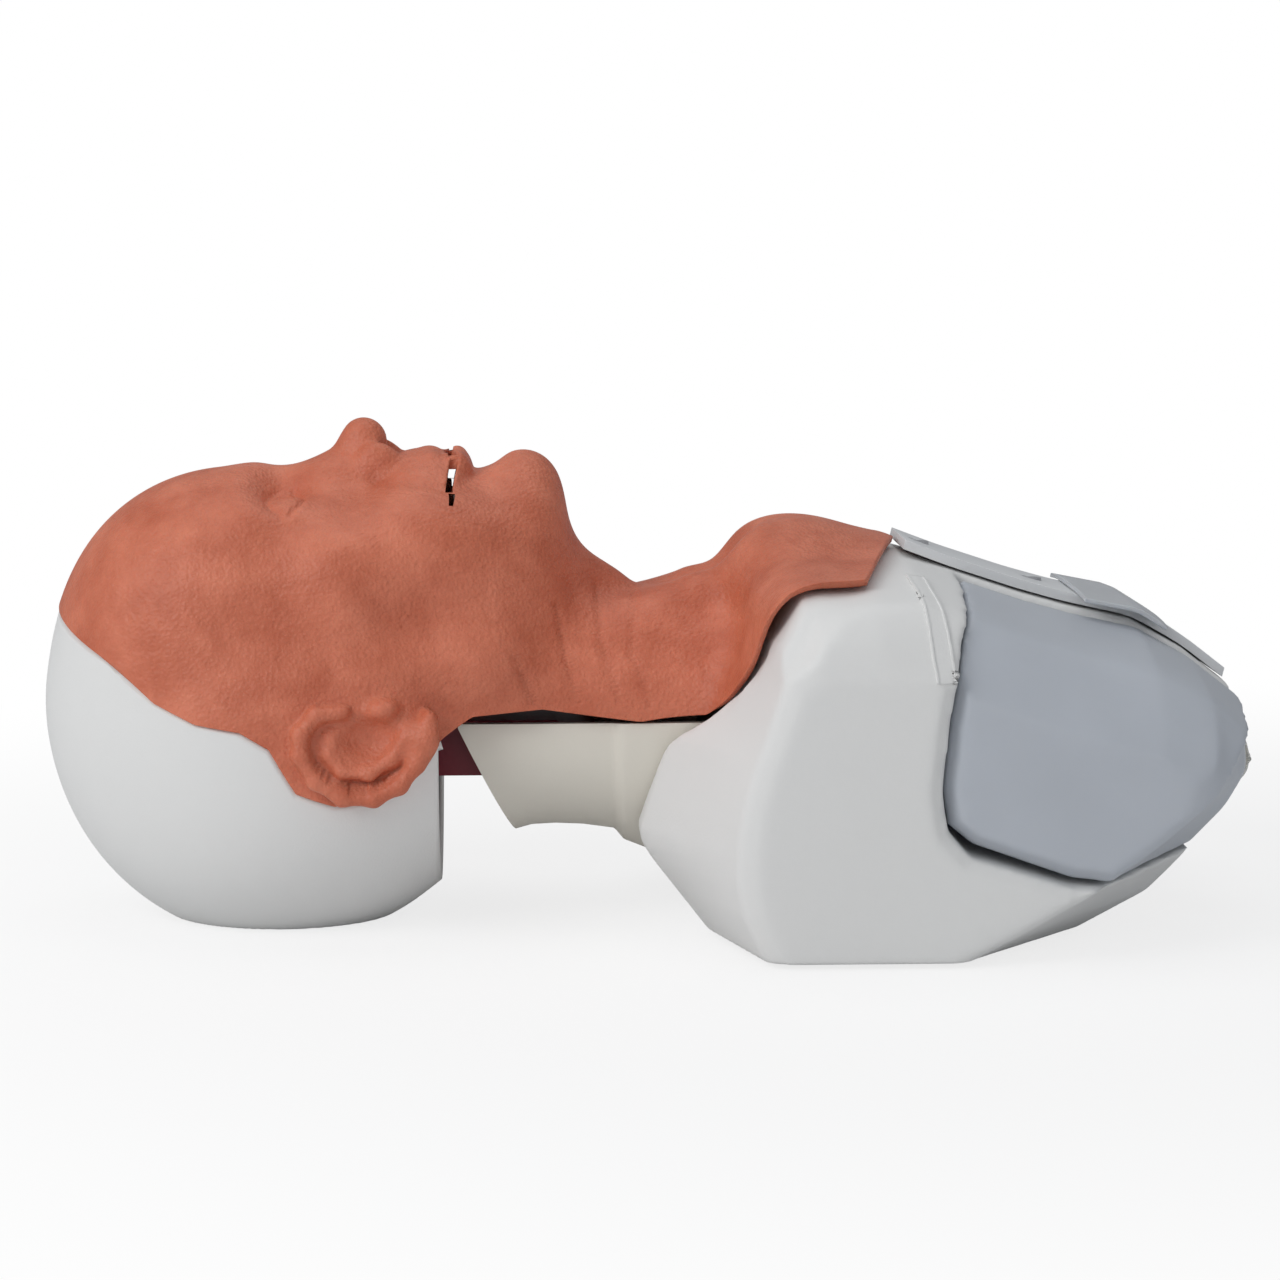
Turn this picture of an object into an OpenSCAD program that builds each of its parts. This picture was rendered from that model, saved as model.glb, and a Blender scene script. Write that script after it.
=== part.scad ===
// Airway management trainer: a supine head, neck and upper chest for practising
// tube placement. X runs from the crown to the waist end, Y across, Z up.
// The origin is the middle of the mat under the chest shell.

/* [Head] */
// Half breadth of the cranium
cranium_half_w = 76; // [75:0.5:77]
// Wall of the white head shell
shell_wall = 4; // [3:0.5:5]
// How far the shell reaches under the skin, in degrees seen from inside the head
ledge_angle = 7; // [5:0.5:9]
// How far the nose stands out of the face
nose_out = 20; // [17:0.5:23]
// How far the ear stands off the side of the head
ear_out = 12; // [9:0.5:14]
// Tilt of the face, chin up, in degrees
face_tilt = 6; // [6:1:6]

/* [Skin] */
// Thickness of the silicone skin
skin_t = 3; // [2.5:0.25:3.5]
// Gap between the skin and what lies under it
skin_gap = 0.9; // [0.6:0.1:1.2]
// Half width of the open mouth
mouth_half_w = 23; // [21:0.5:25]
// How far the lips are parted
mouth_gap = 5; // [4:0.5:7]

/* [Joints] */
// Radius of the head tilt pin
tilt_pin_r = 4; // [3:0.5:5]
// Radius of the jaw pins
jaw_pin_r = 3; // [2.5:0.5:4]
// Radial clearance of a pin in the plate that turns on it
pin_clear = 0.05; // [0.02:0.01:0.09]
// Sideways gap between plates that turn past each other
side_clear = 1; // [0.6:0.1:1.4]
// Thickness of the hinge plates
plate_t = 6; // [5:0.5:7]
// Half width of the neck spigot between the hinge plates
spigot_half_w = 27; // [25:0.5:28]

/* [Neck] */
// Wall of the neck cradle
neck_wall = 5; // [4:0.5:6]
// Inner radius of the windpipe
trachea_r = 9; // [8:0.5:10]
// Inner radius of the gullet
gullet_r = 5.5; // [5:0.5:6]
// Wall of the windpipe and gullet
tube_wall = 2.5; // [2:0.25:3]

/* [Chest] */
// Half width of the chest shell at its side panels
chest_half_w = 124; // [122:1:126]
// Half width of the middle of the chest, between the shoulders
core_half_w = 58; // [57:0.5:59]
// Wall of the chest shell
chest_wall = 5; // [4:0.5:6]
// Half width of the ridge between the lungs
ridge_half_w = 28; // [26:1:30]
// Gap between a lung and its pocket
lung_gap = 1; // [0.6:0.1:2]
// Wall of a lung bag
lung_wall = 2.5; // [2:0.25:3.5]
// Thickness of the rubber mat under the chest
mat_t = 1.5; // [1:0.25:2]
// Thickness of the cover on the breastbone
cover_t = 4; // [3:0.5:5]
// Radius of the cover and bracket screws
screw_r = 2.5; // [2:0.25:3]

/* [Hidden] */
$fn = 40;

// Centre of the cranium, and the head's own axes: a from crown to chin,
// b from the back of the head to the face
head_c = [-272, 0, 95];
ct = cos(face_tilt);
st = sin(face_tilt);
function head_at(a, y, b) = [head_c.x + a*ct - b*st, y, head_c.z + a*st + b*ct];
function to_head(p) = let(x = p.x - head_c.x, z = p.z - head_c.z)
    [x*ct + z*st, abs(p.y), -x*st + z*ct];

// Signed distances to an ellipsoid and to a tapered rod, and smooth joins of them
function ball(p, c, r) = let(
    q = p - c,
    u = [q.x/r.x, q.y/r.y, q.z/r.z],
    w = [u.x/r.x, u.y/r.y, u.z/r.z],
    k = norm(u)) k*(k - 1)/(norm(w) + 0.000001);
function rod(p, a, b, ra, rb) = let(
    v = b - a,
    h = max(0, min(1, ((p - a)*v)/(v*v)))) norm(p - a - v*h) - ra - (rb - ra)*h;
function join(a, b, k) = let(h = max(k - abs(a - b), 0)/k) min(a, b) - h*h*k/4;
function carve(a, b, k) = -join(-a, b, k);

// The clay of the head, in the head's own axes:
// [add 1 or carve -1, centre, radii, blend] or [sign, end, end, radius, radius, blend]
nose_tip_b = 98 + nose_out - 11;
ear_y = cranium_half_w - 4;
CLAY = [
    // cranium, back of the head and face
    [1, [-4, 0, -2], [97, cranium_half_w, 100], 1],
    [1, [8, 0, -30], [82, cranium_half_w - 2, 71], 30],
    [1, [42, 0, 38], [76, 57, 54], 20],
    // cheekbones, upper jaw, ramus, jaw line and chin
    [1, [36, 44, 50], [24, 22, 24], 16],
    [1, [74, 0, 66], [28, 34, 30], 16],
    [1, [48, 55, 6], [92, 44, 16], 13, 12, 22],
    [1, [92, 44, 16], [116, 16, 66], 12, 13, 24],
    [1, [118, 0, 80], [15, 17, 16], 14],
    [1, [106, 0, 42], [28, 40, 36], 24],
    [1, [74, 36, 54], [30, 22, 28], 20],
    // forehead, brow and temple
    [1, [-20, 0, 40], [60, 62, 58], 20],
    [1, [2, 10, 88], [1, 38, 77], 8, 7, 14],
    [-1, [0, 94, 50], [34, 18, 30], 20],
    // eye sockets and closed lids
    [-1, [17, 30, 100], [11, 17, 14], 12],
    [1, [18, 31, 77], [12, 15, 11.5], 5],
    // nose: bridge, side walls, tip and wings
    [1, [10, 0, 83], [44, 0, nose_tip_b - 6], 8, 7.5, 10],
    [1, [40, 9, 88], [20, 10, 13], 8],
    [1, [51, 0, nose_tip_b], [10, 9.5, 10.5], 6],
    [1, [56, 12, 98], [9, 6.5, 9], 4],
    // muzzle and lips
    [1, [74, 0, 78], [18, 26, 22], 12],
    [1, [79, 0, 96.5], [80, 12, 94], 5, 4.5, 4],
    [1, [80, 12, 94], [84, 24, 86], 4.5, 2.5, 5],
    [1, [91, 0, 95.5], [90, 12, 93], 5.5, 5, 4],
    [1, [90, 12, 93], [86, 24, 85], 5, 2.5, 5],
    // groove under the nose and hollow above the chin
    [-1, [66, 0, 105], [72, 0, 106], 2.5, 2.5, 4],
    [-1, [103, 0, 104], [5, 18, 9], 9],
    // ear: body, rim and bowl
    [1, [42, ear_y, -14], [26, 9, 17], 6],
    [1, [22, ear_y + ear_out - 5, -20], [60, ear_y + ear_out - 8, -30], 5, 5, 6],
    [1, [22, ear_y + ear_out - 5, -20], [18, ear_y + 2, -4], 5, 4, 6],
    [-1, [44, ear_y + 13, -12], [16, 9, 9], 4]
];
function clay(p, i = 0, d = 1000) = i >= len(CLAY) ? d : let(
    q = CLAY[i],
    v = len(q) == 4 ? ball(p, q[1], q[2]) : rod(p, q[1], q[2], q[3], q[4]),
    k = q[len(q) - 1])
    clay(p, i + 1, i == 0 ? v : q[0] > 0 ? join(d, v, k) : carve(d, v, k));
// Neck and upper chest, in the shared axes
slab_c = [-10, 0, 60];
slab_r = [78, 230, 105];
function trunk(p) = let(
    neck = rod(p, [-215, 0, 86], [-95, 0, 92], 54, 52),
    cord = rod(p, [-205, 44, 70], [-90, 14, 140], 14, 8),
    apple = ball(p, [-134, 0, 143], [14, 9, 9]),
    slab = ball(p, slab_c, slab_r),
    clavicle = rod(p, [-56, 16, 150], [-48, 92, 139], 13, 14),
    manubrium = ball(p, [-45, 0, 150], [30, 40, 22]),
    chest = join(join(slab, clavicle, 26), manubrium, 20),
    all = join(join(join(neck, cord, 14), apple, 12), chest, 20))
    carve(all, ball(p, [-80, 0, 170], [10, 9, 12]), 14);
function flesh(p) = let(q = [p.x, abs(p.y), p.z])
    p.x > -90 ? trunk(q) : join(clay(to_head(p)), trunk(q), 26);

// Walk in along a ray until the surface lies at the wanted depth
function walk(o, d, t, level, n = 14) = let(v = flesh(o + d*t) - level)
    n == 0 || v < 0.04 ? t : walk(o, d, max(0, t - v*0.92), level, n - 1);

// Rows of rays: [share of the way, inner point, aim on the centre line, aim at the edge]
SKIN_ROWS = [
    [0.00, [-268, 100], [-362, 137], [-334, 59, 117]],
    [0.08, [-268, 100], [-350, 156], [-318, 68, 103]],
    [0.16, [-268, 100], [-320, 185], [-300, 74, 95]],
    [0.25, [-266, 98], [-284, 193], [-282, 79, 92]],
    [0.34, [-262, 98], [-262, 195], [-270, 81, 85]],
    [0.43, [-254, 98], [-232, 215], [-259, 81, 66]],
    [0.52, [-244, 98], [-205, 205], [-243, 80, 59]],
    [0.60, [-230, 98], [-178, 205], [-226, 77, 60]],
    [0.68, [-210, 96], [-152, 198], [-206, 67, 76]],
    [0.715, [-200, 95], [-146, 186], [-200, 62, 86]],
    [0.745, [-188, 94], [-138, 172], [-186, 57, 95]],
    [0.79, [-155, 92], [-120, 148], [-156, 54, 97]],
    [0.84, [-115, 92], [-97, 146], [-114, 58, 91]],
    [0.89, [-84, 88], [-74, 168], [-87, 76, 97]],
    [0.93, [-66, 60], [-50, 175], [-72, 91, 126]],
    [0.965, [-50, 40], [-28, 172], [-54, 97, 150]],
    [1.00, [-30, 40], [-2, 162], [-22, 90, 157]]
];
SHELL_BACK = [
    [0.00, [-362, 137]], [0.08, [-374, 105]], [0.16, [-374, 70]], [0.25, [-362, 36]],
    [0.34, [-345, 17]], [0.43, [-318, 2]], [0.52, [-285, -3]], [0.60, [-250, 3]],
    [0.68, [-222, 14]], [0.715, [-200, 30]]
];
function mix(a, b, f) = a + (b - a)*f;
function key(T, s, i = 0) = i >= len(T) - 2 || s <= T[i + 1][0]
    ? let(f = max(0, min(1, (s - T[i][0])/(T[i + 1][0] - T[i][0]))))
        [for (k = [1:len(T[i]) - 1]) mix(T[i][k], T[i + 1][k], f)]
    : key(T, s, i + 1);
function unit(v) = v/norm(v);
function arc(a, b, f) = let(w = acos(max(-1, min(1, a*b))))
    (a*sin((1 - f)*w) + b*sin(f*w))/sin(w);
function skin_ray(s, c) = let(
    r = key(SKIN_ROWS, s),
    o = [r[0].x, 0, r[0].y],
    m = unit([r[1].x, 0, r[1].y] - o),
    e = unit(r[2] - o),
    d = unit(arc(m, e, abs(c)))) [o, [d.x, c < 0 ? -d.y : d.y, d.z]];
// A ray of the head shell; the lifts carry it past the skin's edge, under the skin
function shell_ray(s, c, row_lift, col_lift) = let(
    r = key(SKIN_ROWS, s),
    o = [r[0].x, 0, r[0].y],
    b = key(SHELL_BACK, s)[0],
    m = unit([b.x, 0, b.y] - o),
    d = arc(m, unit(r[2] - o), abs(c)),
    fade = max(0, 1 - s/0.3),
    slide = [0.35, 0.2, -0.3]*(col_lift*fade - row_lift*abs(c)),
    w = unit(d + [0, 0, 1]*(row_lift + col_lift) + slide))
    [o, [w.x, c < 0 ? -w.y : w.y, w.z]];

// A closed wall between two grids of points, left open at the listed cells
function is_hole(H, i, j) = len([for (h = H) if (i >= h[0] && i < h[1] && j >= h[2] && j < h[3]) 1]) > 0;
module wall(P, Q, H = []) {
    nr = len(P);
    nc = len(P[0]);
    n = nr*nc;
    pts = concat([for (r = P) each r], [for (r = Q) each r]);
    gone = [for (i = [-1:nr - 1]) [for (j = [-1:nc - 1])
        i < 0 || j < 0 || i == nr - 1 || j == nc - 1 || is_hole(H, i, j)]];
    faces = [for (i = [0:nr - 2]) for (j = [0:nc - 2]) if (!gone[i + 1][j + 1]) let(
        a = i*nc + j, b = a + 1, c = a + nc + 1, d = a + nc) each concat(
        [[a, b, c], [a, c, d], [n + a, n + c, n + b], [n + a, n + d, n + c]],
        gone[i][j + 1] ? [[b, a, n + a], [b, n + a, n + b]] : [],
        gone[i + 2][j + 1] ? [[d, c, n + c], [d, n + c, n + d]] : [],
        gone[i + 1][j] ? [[a, d, n + d], [a, n + d, n + a]] : [],
        gone[i + 1][j + 2] ? [[c, b, n + b], [c, n + b, n + c]] : [])];
    polyhedron(pts, faces, convexity = 8);
}

module pipe(path, ri, ro, n = 20) {
    m = len(path) - 1;
    ring = [for (i = [0:m]) let(
        p = path[i],
        t = unit(path[min(m, i + 1)] - path[max(0, i - 1)]),
        u = unit(cross([0, 1, 0], t)),
        v = cross(t, u))
        [for (r = [ro, ri]) [for (k = [0:n - 1]) p + (u*cos(k*360/n) + v*sin(k*360/n))*r]]];
    pts = concat([for (r = ring) each r[0]], [for (r = ring) each r[1]]);
    q = (m + 1)*n;
    faces = concat(
        [for (i = [0:m - 1]) for (k = [0:n - 1]) let(a = i*n + k, b = i*n + (k + 1)%n) each [
            [a, a + n, b + n], [a, b + n, b],
            [q + a, q + b + n, q + a + n], [q + a, q + b, q + b + n]]],
        [for (k = [0:n - 1]) let(b = (k + 1)%n, z = m*n) each [
            [k, b, q + b], [k, q + b, q + k],
            [z + k, q + z + b, z + b], [z + k, q + z + k, q + z + b]]]);
    polyhedron(pts, faces, convexity = 6);
}
// A solid through outlines in X and Z that stand at the given Y, in rising order
function turned(P) = let(n = len(P), t = [for (i = [0:n - 1])
    P[i].x*P[(i + 1)%n].y - P[(i + 1)%n].x*P[i].y]) t*[for (v = t) 1] < 0;
module loft(ys, outlines) {
    n = len(outlines[0]);
    m = len(ys) - 1;
    back = turned(outlines[0]);
    pts = [for (i = [0:m]) for (k = [0:n - 1]) let(p = outlines[i][back ? n - 1 - k : k]) [p.x, ys[i], p.y]];
    faces = concat(
        [for (i = [0:m - 1]) for (k = [0:n - 1]) let(a = i*n + k, b = i*n + (k + 1)%n) each
            [[a, b, a + n], [b, b + n, a + n]]],
        [[for (k = [n - 1:-1:0]) k], [for (k = [0:n - 1]) m*n + k]]);
    polyhedron(pts, faces, convexity = 8);
}

// Head: skin, frame under the face and white shell
skin_nr = 52;
skin_nc = 32;
lip_row = 28;
function lip_shift(i, j) = let(
    f = abs(j - skin_nc/2)/4.6,
    w = f < 1 ? sqrt(1 - f*f) : 0)
    i == lip_row ? 0.35 - 0.35*w : i == lip_row + 1 ? -0.35 + 0.35*w : 0;
module face_skin() {
    color([0.72, 0.36, 0.27]) {
        rays = [for (i = [0:skin_nr]) [for (j = [0:skin_nc])
            skin_ray((i + lip_shift(i, j))/skin_nr, j*2/skin_nc - 1)]];
        half = [for (i = [0:skin_nr]) [for (j = [0:skin_nc/2])
            let(r = rays[i][j], t = walk(r[0], r[1], 170, 0)) [t, walk(r[0], r[1], t, -skin_t)]]];
        P = [for (i = [0:skin_nr]) [for (j = [0:skin_nc])
            let(r = rays[i][j]) r[0] + r[1]*half[i][min(j, skin_nc - j)][0]]];
        Q = [for (i = [0:skin_nr]) [for (j = [0:skin_nc])
            let(r = rays[i][j]) r[0] + r[1]*half[i][min(j, skin_nc - j)][1]]];
        wall(P, Q, [[lip_row, lip_row + 1, skin_nc/2 - 4, skin_nc/2 + 4]]);
    }
}
under_skin = -skin_t - skin_gap;
module skull_frame() {
    color([0.86, 0.85, 0.82]) {
        nr = 16;
        nc = 18;
        rays = [for (i = [0:nr]) [for (j = [0:nc]) skin_ray(0.14 + 0.33*i/nr, (j*2/nc - 1)*0.84)]];
        half = [for (i = [0:nr]) [for (j = [0:nc/2]) let(r = rays[i][j],
            t = walk(r[0], r[1], 170, under_skin - 2)) [t, walk(r[0], r[1], t, under_skin - 6)]]];
        P = [for (i = [0:nr]) [for (j = [0:nc]) let(r = rays[i][j]) r[0] + r[1]*half[i][min(j, nc - j)][0]]];
        Q = [for (i = [0:nr]) [for (j = [0:nc]) let(r = rays[i][j]) r[0] + r[1]*half[i][min(j, nc - j)][1]]];
        wall(P, Q);
    }
}
rest_z = 0;
floor_z = 7;
foot_z = floor_z + 0.1;
module head_shell() {
    color([0.92, 0.92, 0.91]) {
        k = tan(ledge_angle);
        lifts = [k, 0.42*k, -0.016, -0.03];
        rows = concat([for (l = lifts) [0, l]], [for (i = [1:20]) [0.715*i/20, 0]]);
        ups = concat([for (l = lifts) [1, l]], [for (i = [1:9]) [1 - i/9.5, 0]]);
        cols = concat(ups, [[0, 0]], [for (i = [len(ups) - 1:-1:0]) [-ups[i][0], ups[i][1]]]);
        nc = len(cols) - 1;
        deep = under_skin - shell_wall;
        half = [for (i = [0:len(rows) - 1]) [for (j = [0:nc/2]) let(
            r = shell_ray(rows[i][0], cols[j][0], rows[i][1], cols[j][1]),
            low = i < 3 || j < 3,
            t = walk(r[0], r[1], 150, low ? under_skin - 0.9 : -0.8),
            u = walk(r[0], r[1], t, deep),
            p = r[0] + r[1]*t,
            q = r[0] + r[1]*u) [[p.x, p.y, max(rest_z, p.z)], [q.x, q.y, max(floor_z, q.z)]]]];
        P = [for (h = half) [for (j = [0:nc]) let(p = h[min(j, nc - j)][0]) [p.x, j > nc/2 ? -p.y : p.y, p.z]]];
        Q = [for (h = half) [for (j = [0:nc]) let(p = h[min(j, nc - j)][1]) [p.x, j > nc/2 ? -p.y : p.y, p.z]]];
        wall(P, Q);
    }
}

// Gap between pieces that are seated in one another
seat_gap = 0.3;

// Hinge axes, in X and Z
tilt_at = [-215, 76];
jaw_at = [head_at(30, 0, 2).x, head_at(30, 0, 2).z];
arm_y0 = spigot_half_w + side_clear;
arm_y1 = arm_y0 + plate_t;
ramus_y0 = arm_y1 + side_clear;
ramus_y1 = ramus_y0 + plate_t;

// A plate with the given outline in X and Z, between two values of Y
module slab_xz(y0, y1) {
    translate([0, y1, 0])
        rotate([90, 0, 0])
            linear_extrude(y1 - y0)
                children();
}
module rod_y(at, r, y0, y1) {
    translate([at.x, y1, at.y])
        rotate([90, 0, 0])
            cylinder(r = r, h = y1 - y0);
}
module both_sides() {
    children();
    mirror([0, 1, 0]) children();
}
module arm_outline() {
    difference() {
        union() {
            polygon([[-207, 70], [-207, 88], [-234, 108], [-250, 107], [-300, 64], [-300, 42], [-262, 42], [-226, 62]]);
            translate(tilt_at) circle(r = 11);
            translate(jaw_at) circle(r = 10);
        }
        translate(tilt_at) circle(r = tilt_pin_r + pin_clear);
        translate(jaw_at) circle(r = jaw_pin_r);
    }
}
bracket_x = -284;
foot_r = 24;
screw_out = 19;
foot_t = 4;
module head_bracket() {
    color([0.55, 0.57, 0.6]) {
        both_sides() slab_xz(arm_y0, arm_y1) arm_outline();
        difference() {
            union() {
                translate([-300, -arm_y0, 42]) cube([34, 2*arm_y0, 16]);
                translate([bracket_x - 9, -9, foot_z + foot_t - 1]) cube([18, 18, 42 - foot_z - foot_t + 2]);
                translate([bracket_x, 0, foot_z]) cylinder(r = foot_r, h = foot_t);
            }
            for (k = [0:3])
                translate([bracket_x, 0, floor_z - 1])
                    rotate([0, 0, 90*k])
                        translate([screw_out, 0, 0]) cylinder(r = screw_r, h = foot_t + 2);
        }
    }
}
module bracket_screws() {
    color([0.75, 0.75, 0.77])
        for (k = [0:3])
            translate([bracket_x, 0, foot_z])
                rotate([0, 0, 90*k])
                    translate([screw_out, 0, 0]) {
                        cylinder(r = screw_r, h = foot_t);
                        translate([0, 0, foot_t]) cylinder(r = screw_r*1.7, h = 2);
                    }
}
module jaw_pins() {
    color([0.75, 0.75, 0.77])
        both_sides() {
            rod_y(jaw_at, jaw_pin_r, arm_y0, ramus_y1 + 0.5);
            rod_y(jaw_at, jaw_pin_r*1.8, ramus_y1 + 0.5, ramus_y1 + 2.5);
        }
}
module tilt_pin() {
    color([0.75, 0.75, 0.77])
        rod_y(tilt_at, tilt_pin_r, -arm_y1, arm_y1);
}

// Pieces placed on the head's axes: a, y, b
module in_head() {
    translate(head_c) rotate([0, -face_tilt, 0]) children();
}
// An outline in b and y pushed along a
module along_a(a, t) {
    translate([a, 0, 0])
        rotate([0, 90, 0])
            linear_extrude(t) children();
}
function arch(w, b0, b1, n = 14) = [for (i = [0:n]) [-b0 - (b1 - b0)*sin(i*180/n), w*cos(i*180/n)]];
module arch_ring(w, t, b0, b1) {
    polygon(concat(arch(w, b0, b1), [for (i = [14:-1:0]) arch(w - t, b0, b1 - t)[i]]));
}
teeth_b0 = 48;
teeth_b1 = 83;
teeth_w = 23;
palate_a = 64;
bite_a = 79;
module tooth_row(w, b0, b1, a, t, r0, r1) {
    for (i = [0:13]) let(f = 8 + 164*i/13)
        translate([a, w*cos(f), b0 + (b1 - b0)*sin(f)])
            rotate([0, t > 0 ? 90 : -90, 0]) cylinder(r1 = r0, r2 = r1, h = abs(t), $fn = 16);
}
module upper_teeth() {
    color([0.93, 0.9, 0.83])
        in_head() {
            along_a(palate_a, 2) polygon(arch(teeth_w + 5, teeth_b0 - 18, teeth_b1 + 5));
            along_a(palate_a + 2, 7) arch_ring(teeth_w + 4.5, 9, teeth_b0 - 6, teeth_b1 + 4.5);
            tooth_row(teeth_w, teeth_b0, teeth_b1, palate_a + 8.5, bite_a - palate_a - 8.5, 3.4, 2.8);
        }
}
gum_a = bite_a + mouth_gap + 10;
jaw_slope = 22;
jaw_bar_w = ramus_y1;
jaw_bar_front = 81;
jaw_bar_back = 14;
module in_jaw_bar() {
    translate([gum_a + 8, 0, jaw_bar_front])
        rotate([0, jaw_slope, 0])
            children();
}
module ramus_outline() {
    difference() {
        union() {
            polygon([[24, -6], [36, -6], [70, -2], [85, 8], [86, 22], [72, 26], [60, 24], [28, 12]]);
            translate([30, 2]) circle(r = 9);
        }
        translate([30, 2]) circle(r = jaw_pin_r + pin_clear);
    }
}
module mandible() {
    color([0.86, 0.85, 0.82])
        in_head() {
            both_sides() slab_xz(ramus_y0, ramus_y1) ramus_outline();
            in_jaw_bar() {
                along_a(0, 19) arch_ring(jaw_bar_w, plate_t, -72, 0);
                along_a(16, 3) polygon(arch(jaw_bar_w - plate_t + 0.5, -48, -plate_t + 0.5));
            }
            along_a(gum_a - 1, 8) arch_ring(teeth_w + 4.5, 9, teeth_b0 - 6, teeth_b1 - 1);
        }
}
module lower_teeth() {
    color([0.93, 0.9, 0.83])
        in_head()
            tooth_row(teeth_w, teeth_b0, teeth_b1 - 6, gum_a - 1 - seat_gap, -5.7, 3.2, 2.6);
}
module tongue() {
    color([0.72, 0.3, 0.28])
        in_head()
            in_jaw_bar()
                translate([6, 0, -34])
                    scale([9.7, 16, 22]) sphere(r = 1);
}

// Neck
cradle_c = 88;
CRADLE = [
    // x at the top, x underneath, half width, lowest z
    [-192, -167, 47.5, 36], [-180, -160, 47.5, 38], [-165, -150, 47.5, 38.5], [-145, -138, 47.5, 38],
    [-126, -124, 47.5, 36], [-122, -120, 50, 31], [-108, -110, 50.3, 27], [-84, -88, 50.3, 23]
];
function cradle_ring(r, t) = [for (k = [0:28]) let(f = -92 + 184*k/28)
    [mix(r[0], r[1], max(0, cos(f))), (r[2] - t)*sin(f), cradle_c - (cradle_c - r[3] - t)*cos(f)]];
module neck_cradle() {
    color([0.93, 0.91, 0.87])
        wall([for (r = CRADLE) cradle_ring(r, neck_wall)], [for (r = CRADLE) cradle_ring(r, 0)]);
}
module neck_spigot() {
    color([0.5, 0.06, 0.1])
        slab_xz(-spigot_half_w, spigot_half_w)
            difference() {
                polygon([[-222, 64], [-227, 70], [-227, 82], [-221, 88], [-150, 88], [-132, 80], [-132, 56], [-160, 56], [-178, 64]]);
                translate(tilt_at) circle(r = tilt_pin_r);
            }
}
LARYNX = [
    [-206, 0, 110], [-192, 0, 113], [-178, 0, 117.5], [-165, 0, 120.5], [-148, 0, 123.2],
    [-134, 0, 123.8], [-118, 0, 122.2], [-112, 0, 121.6]
];
TRACHEA = [
    [-112, 0, 121.6], [-106, 0, 121], [-80, 0, 121], [-50, 0, 120], [-20, 0, 111], [8, 0, 99]
];
GULLET = [
    [-176, 0, 97.5], [-165, 0, 99.5], [-134, 0, 102], [-108, 0, 100], [-80, 0, 100],
    [-50, 0, 98], [-20, 0, 88], [6, 0, 76], [40, 0, 70], [70, 0, 67], [102, 0, 66]
];
tee_at = [18, 97];
tee_r = 10.5;
module airway() {
    color([0.62, 0.12, 0.14])
        pipe(LARYNX, trachea_r, trachea_r + tube_wall);
}
module trachea() {
    color([0.62, 0.12, 0.14]) {
        pipe(TRACHEA, trachea_r, trachea_r + tube_wall);
        difference() {
            union() {
                rod_y(tee_at, tee_r, -33, 33);
                translate([4, 0, 99.5]) rotate([0, 90, 0]) cylinder(r = trachea_r + tube_wall, h = 12);
            }
            rod_y(tee_at, tee_r - tube_wall, -34, 34);
            translate([3, 0, 99.5]) rotate([0, 90, 0]) cylinder(r = trachea_r, h = 12);
        }
    }
}
module gullet() {
    color([0.72, 0.3, 0.28]) pipe(GULLET, gullet_r, gullet_r + tube_wall);
}

// Chest: outlines in X and Z for a given distance w from the centre plane
function look(T, z, i = 0) = i >= len(T) - 2 || z <= T[i + 1][0]
    ? mix(T[i][1], T[i + 1][1], max(0, min(1, (z - T[i][0])/(T[i + 1][0] - T[i][0]))))
    : look(T, z, i + 1);
FRONT_CORE = [[0, -84], [33, -109.6], [40, -114], [46, -115.2], [60, -111], [86, -101.9], [95, -92], [115, -76], [140, -62.6], [160, -50]];
FRONT_SIDE = [
    [0, -65], [10, -70.5], [20.6, -75.3], [33, -78], [45, -78.6], [57, -77.8], [69.6, -75.3], [82, -71.5],
    [94, -67], [106, -63], [118.6, -59], [131, -57], [143, -55], [160, -50]
];
TAIL_CORE = [[70, 0], [104, 18.3], [139, 55], [147, 70], [145, 86], [142.7, 102.7]];
TAIL_SIDE = [[16, 0], [43, 14], [73, 31], [97, 48], [118, 66], [135, 92]];
TOP_CORE = [[142, 103], [121.5, 119], [99, 131.6], [70, 138], [50, 143.6], [19, 153.8], [0, 161]];
TOP_SIDE = [[136, 104], [121, 117], [98, 128], [75, 135], [50, 142.5], [19, 152.5], [0, 160]];
// Share of the way from the core outline to the side outline
function side_share(w) = max(0, min(1, (w - core_half_w)/(chest_half_w - 6 - core_half_w)));
// How far the top drops towards the sides
function top_drop(w) = slab_r.z*(1 - sqrt(1 - pow(w/slab_r.y, 2))) + 26*pow(max(0, w - (chest_half_w - 28))/28, 2);
// Where the underside of the skin's chest flap would meet a line along Z or X
function skin_floor(x, w) = 60 + walk([x, w, 60], [0, 0, 1], 130, under_skin - 1);
function skin_back(z, w) = -20 - walk([-20, w, z], [-1, 0, 0], 110, under_skin - 1);
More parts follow.
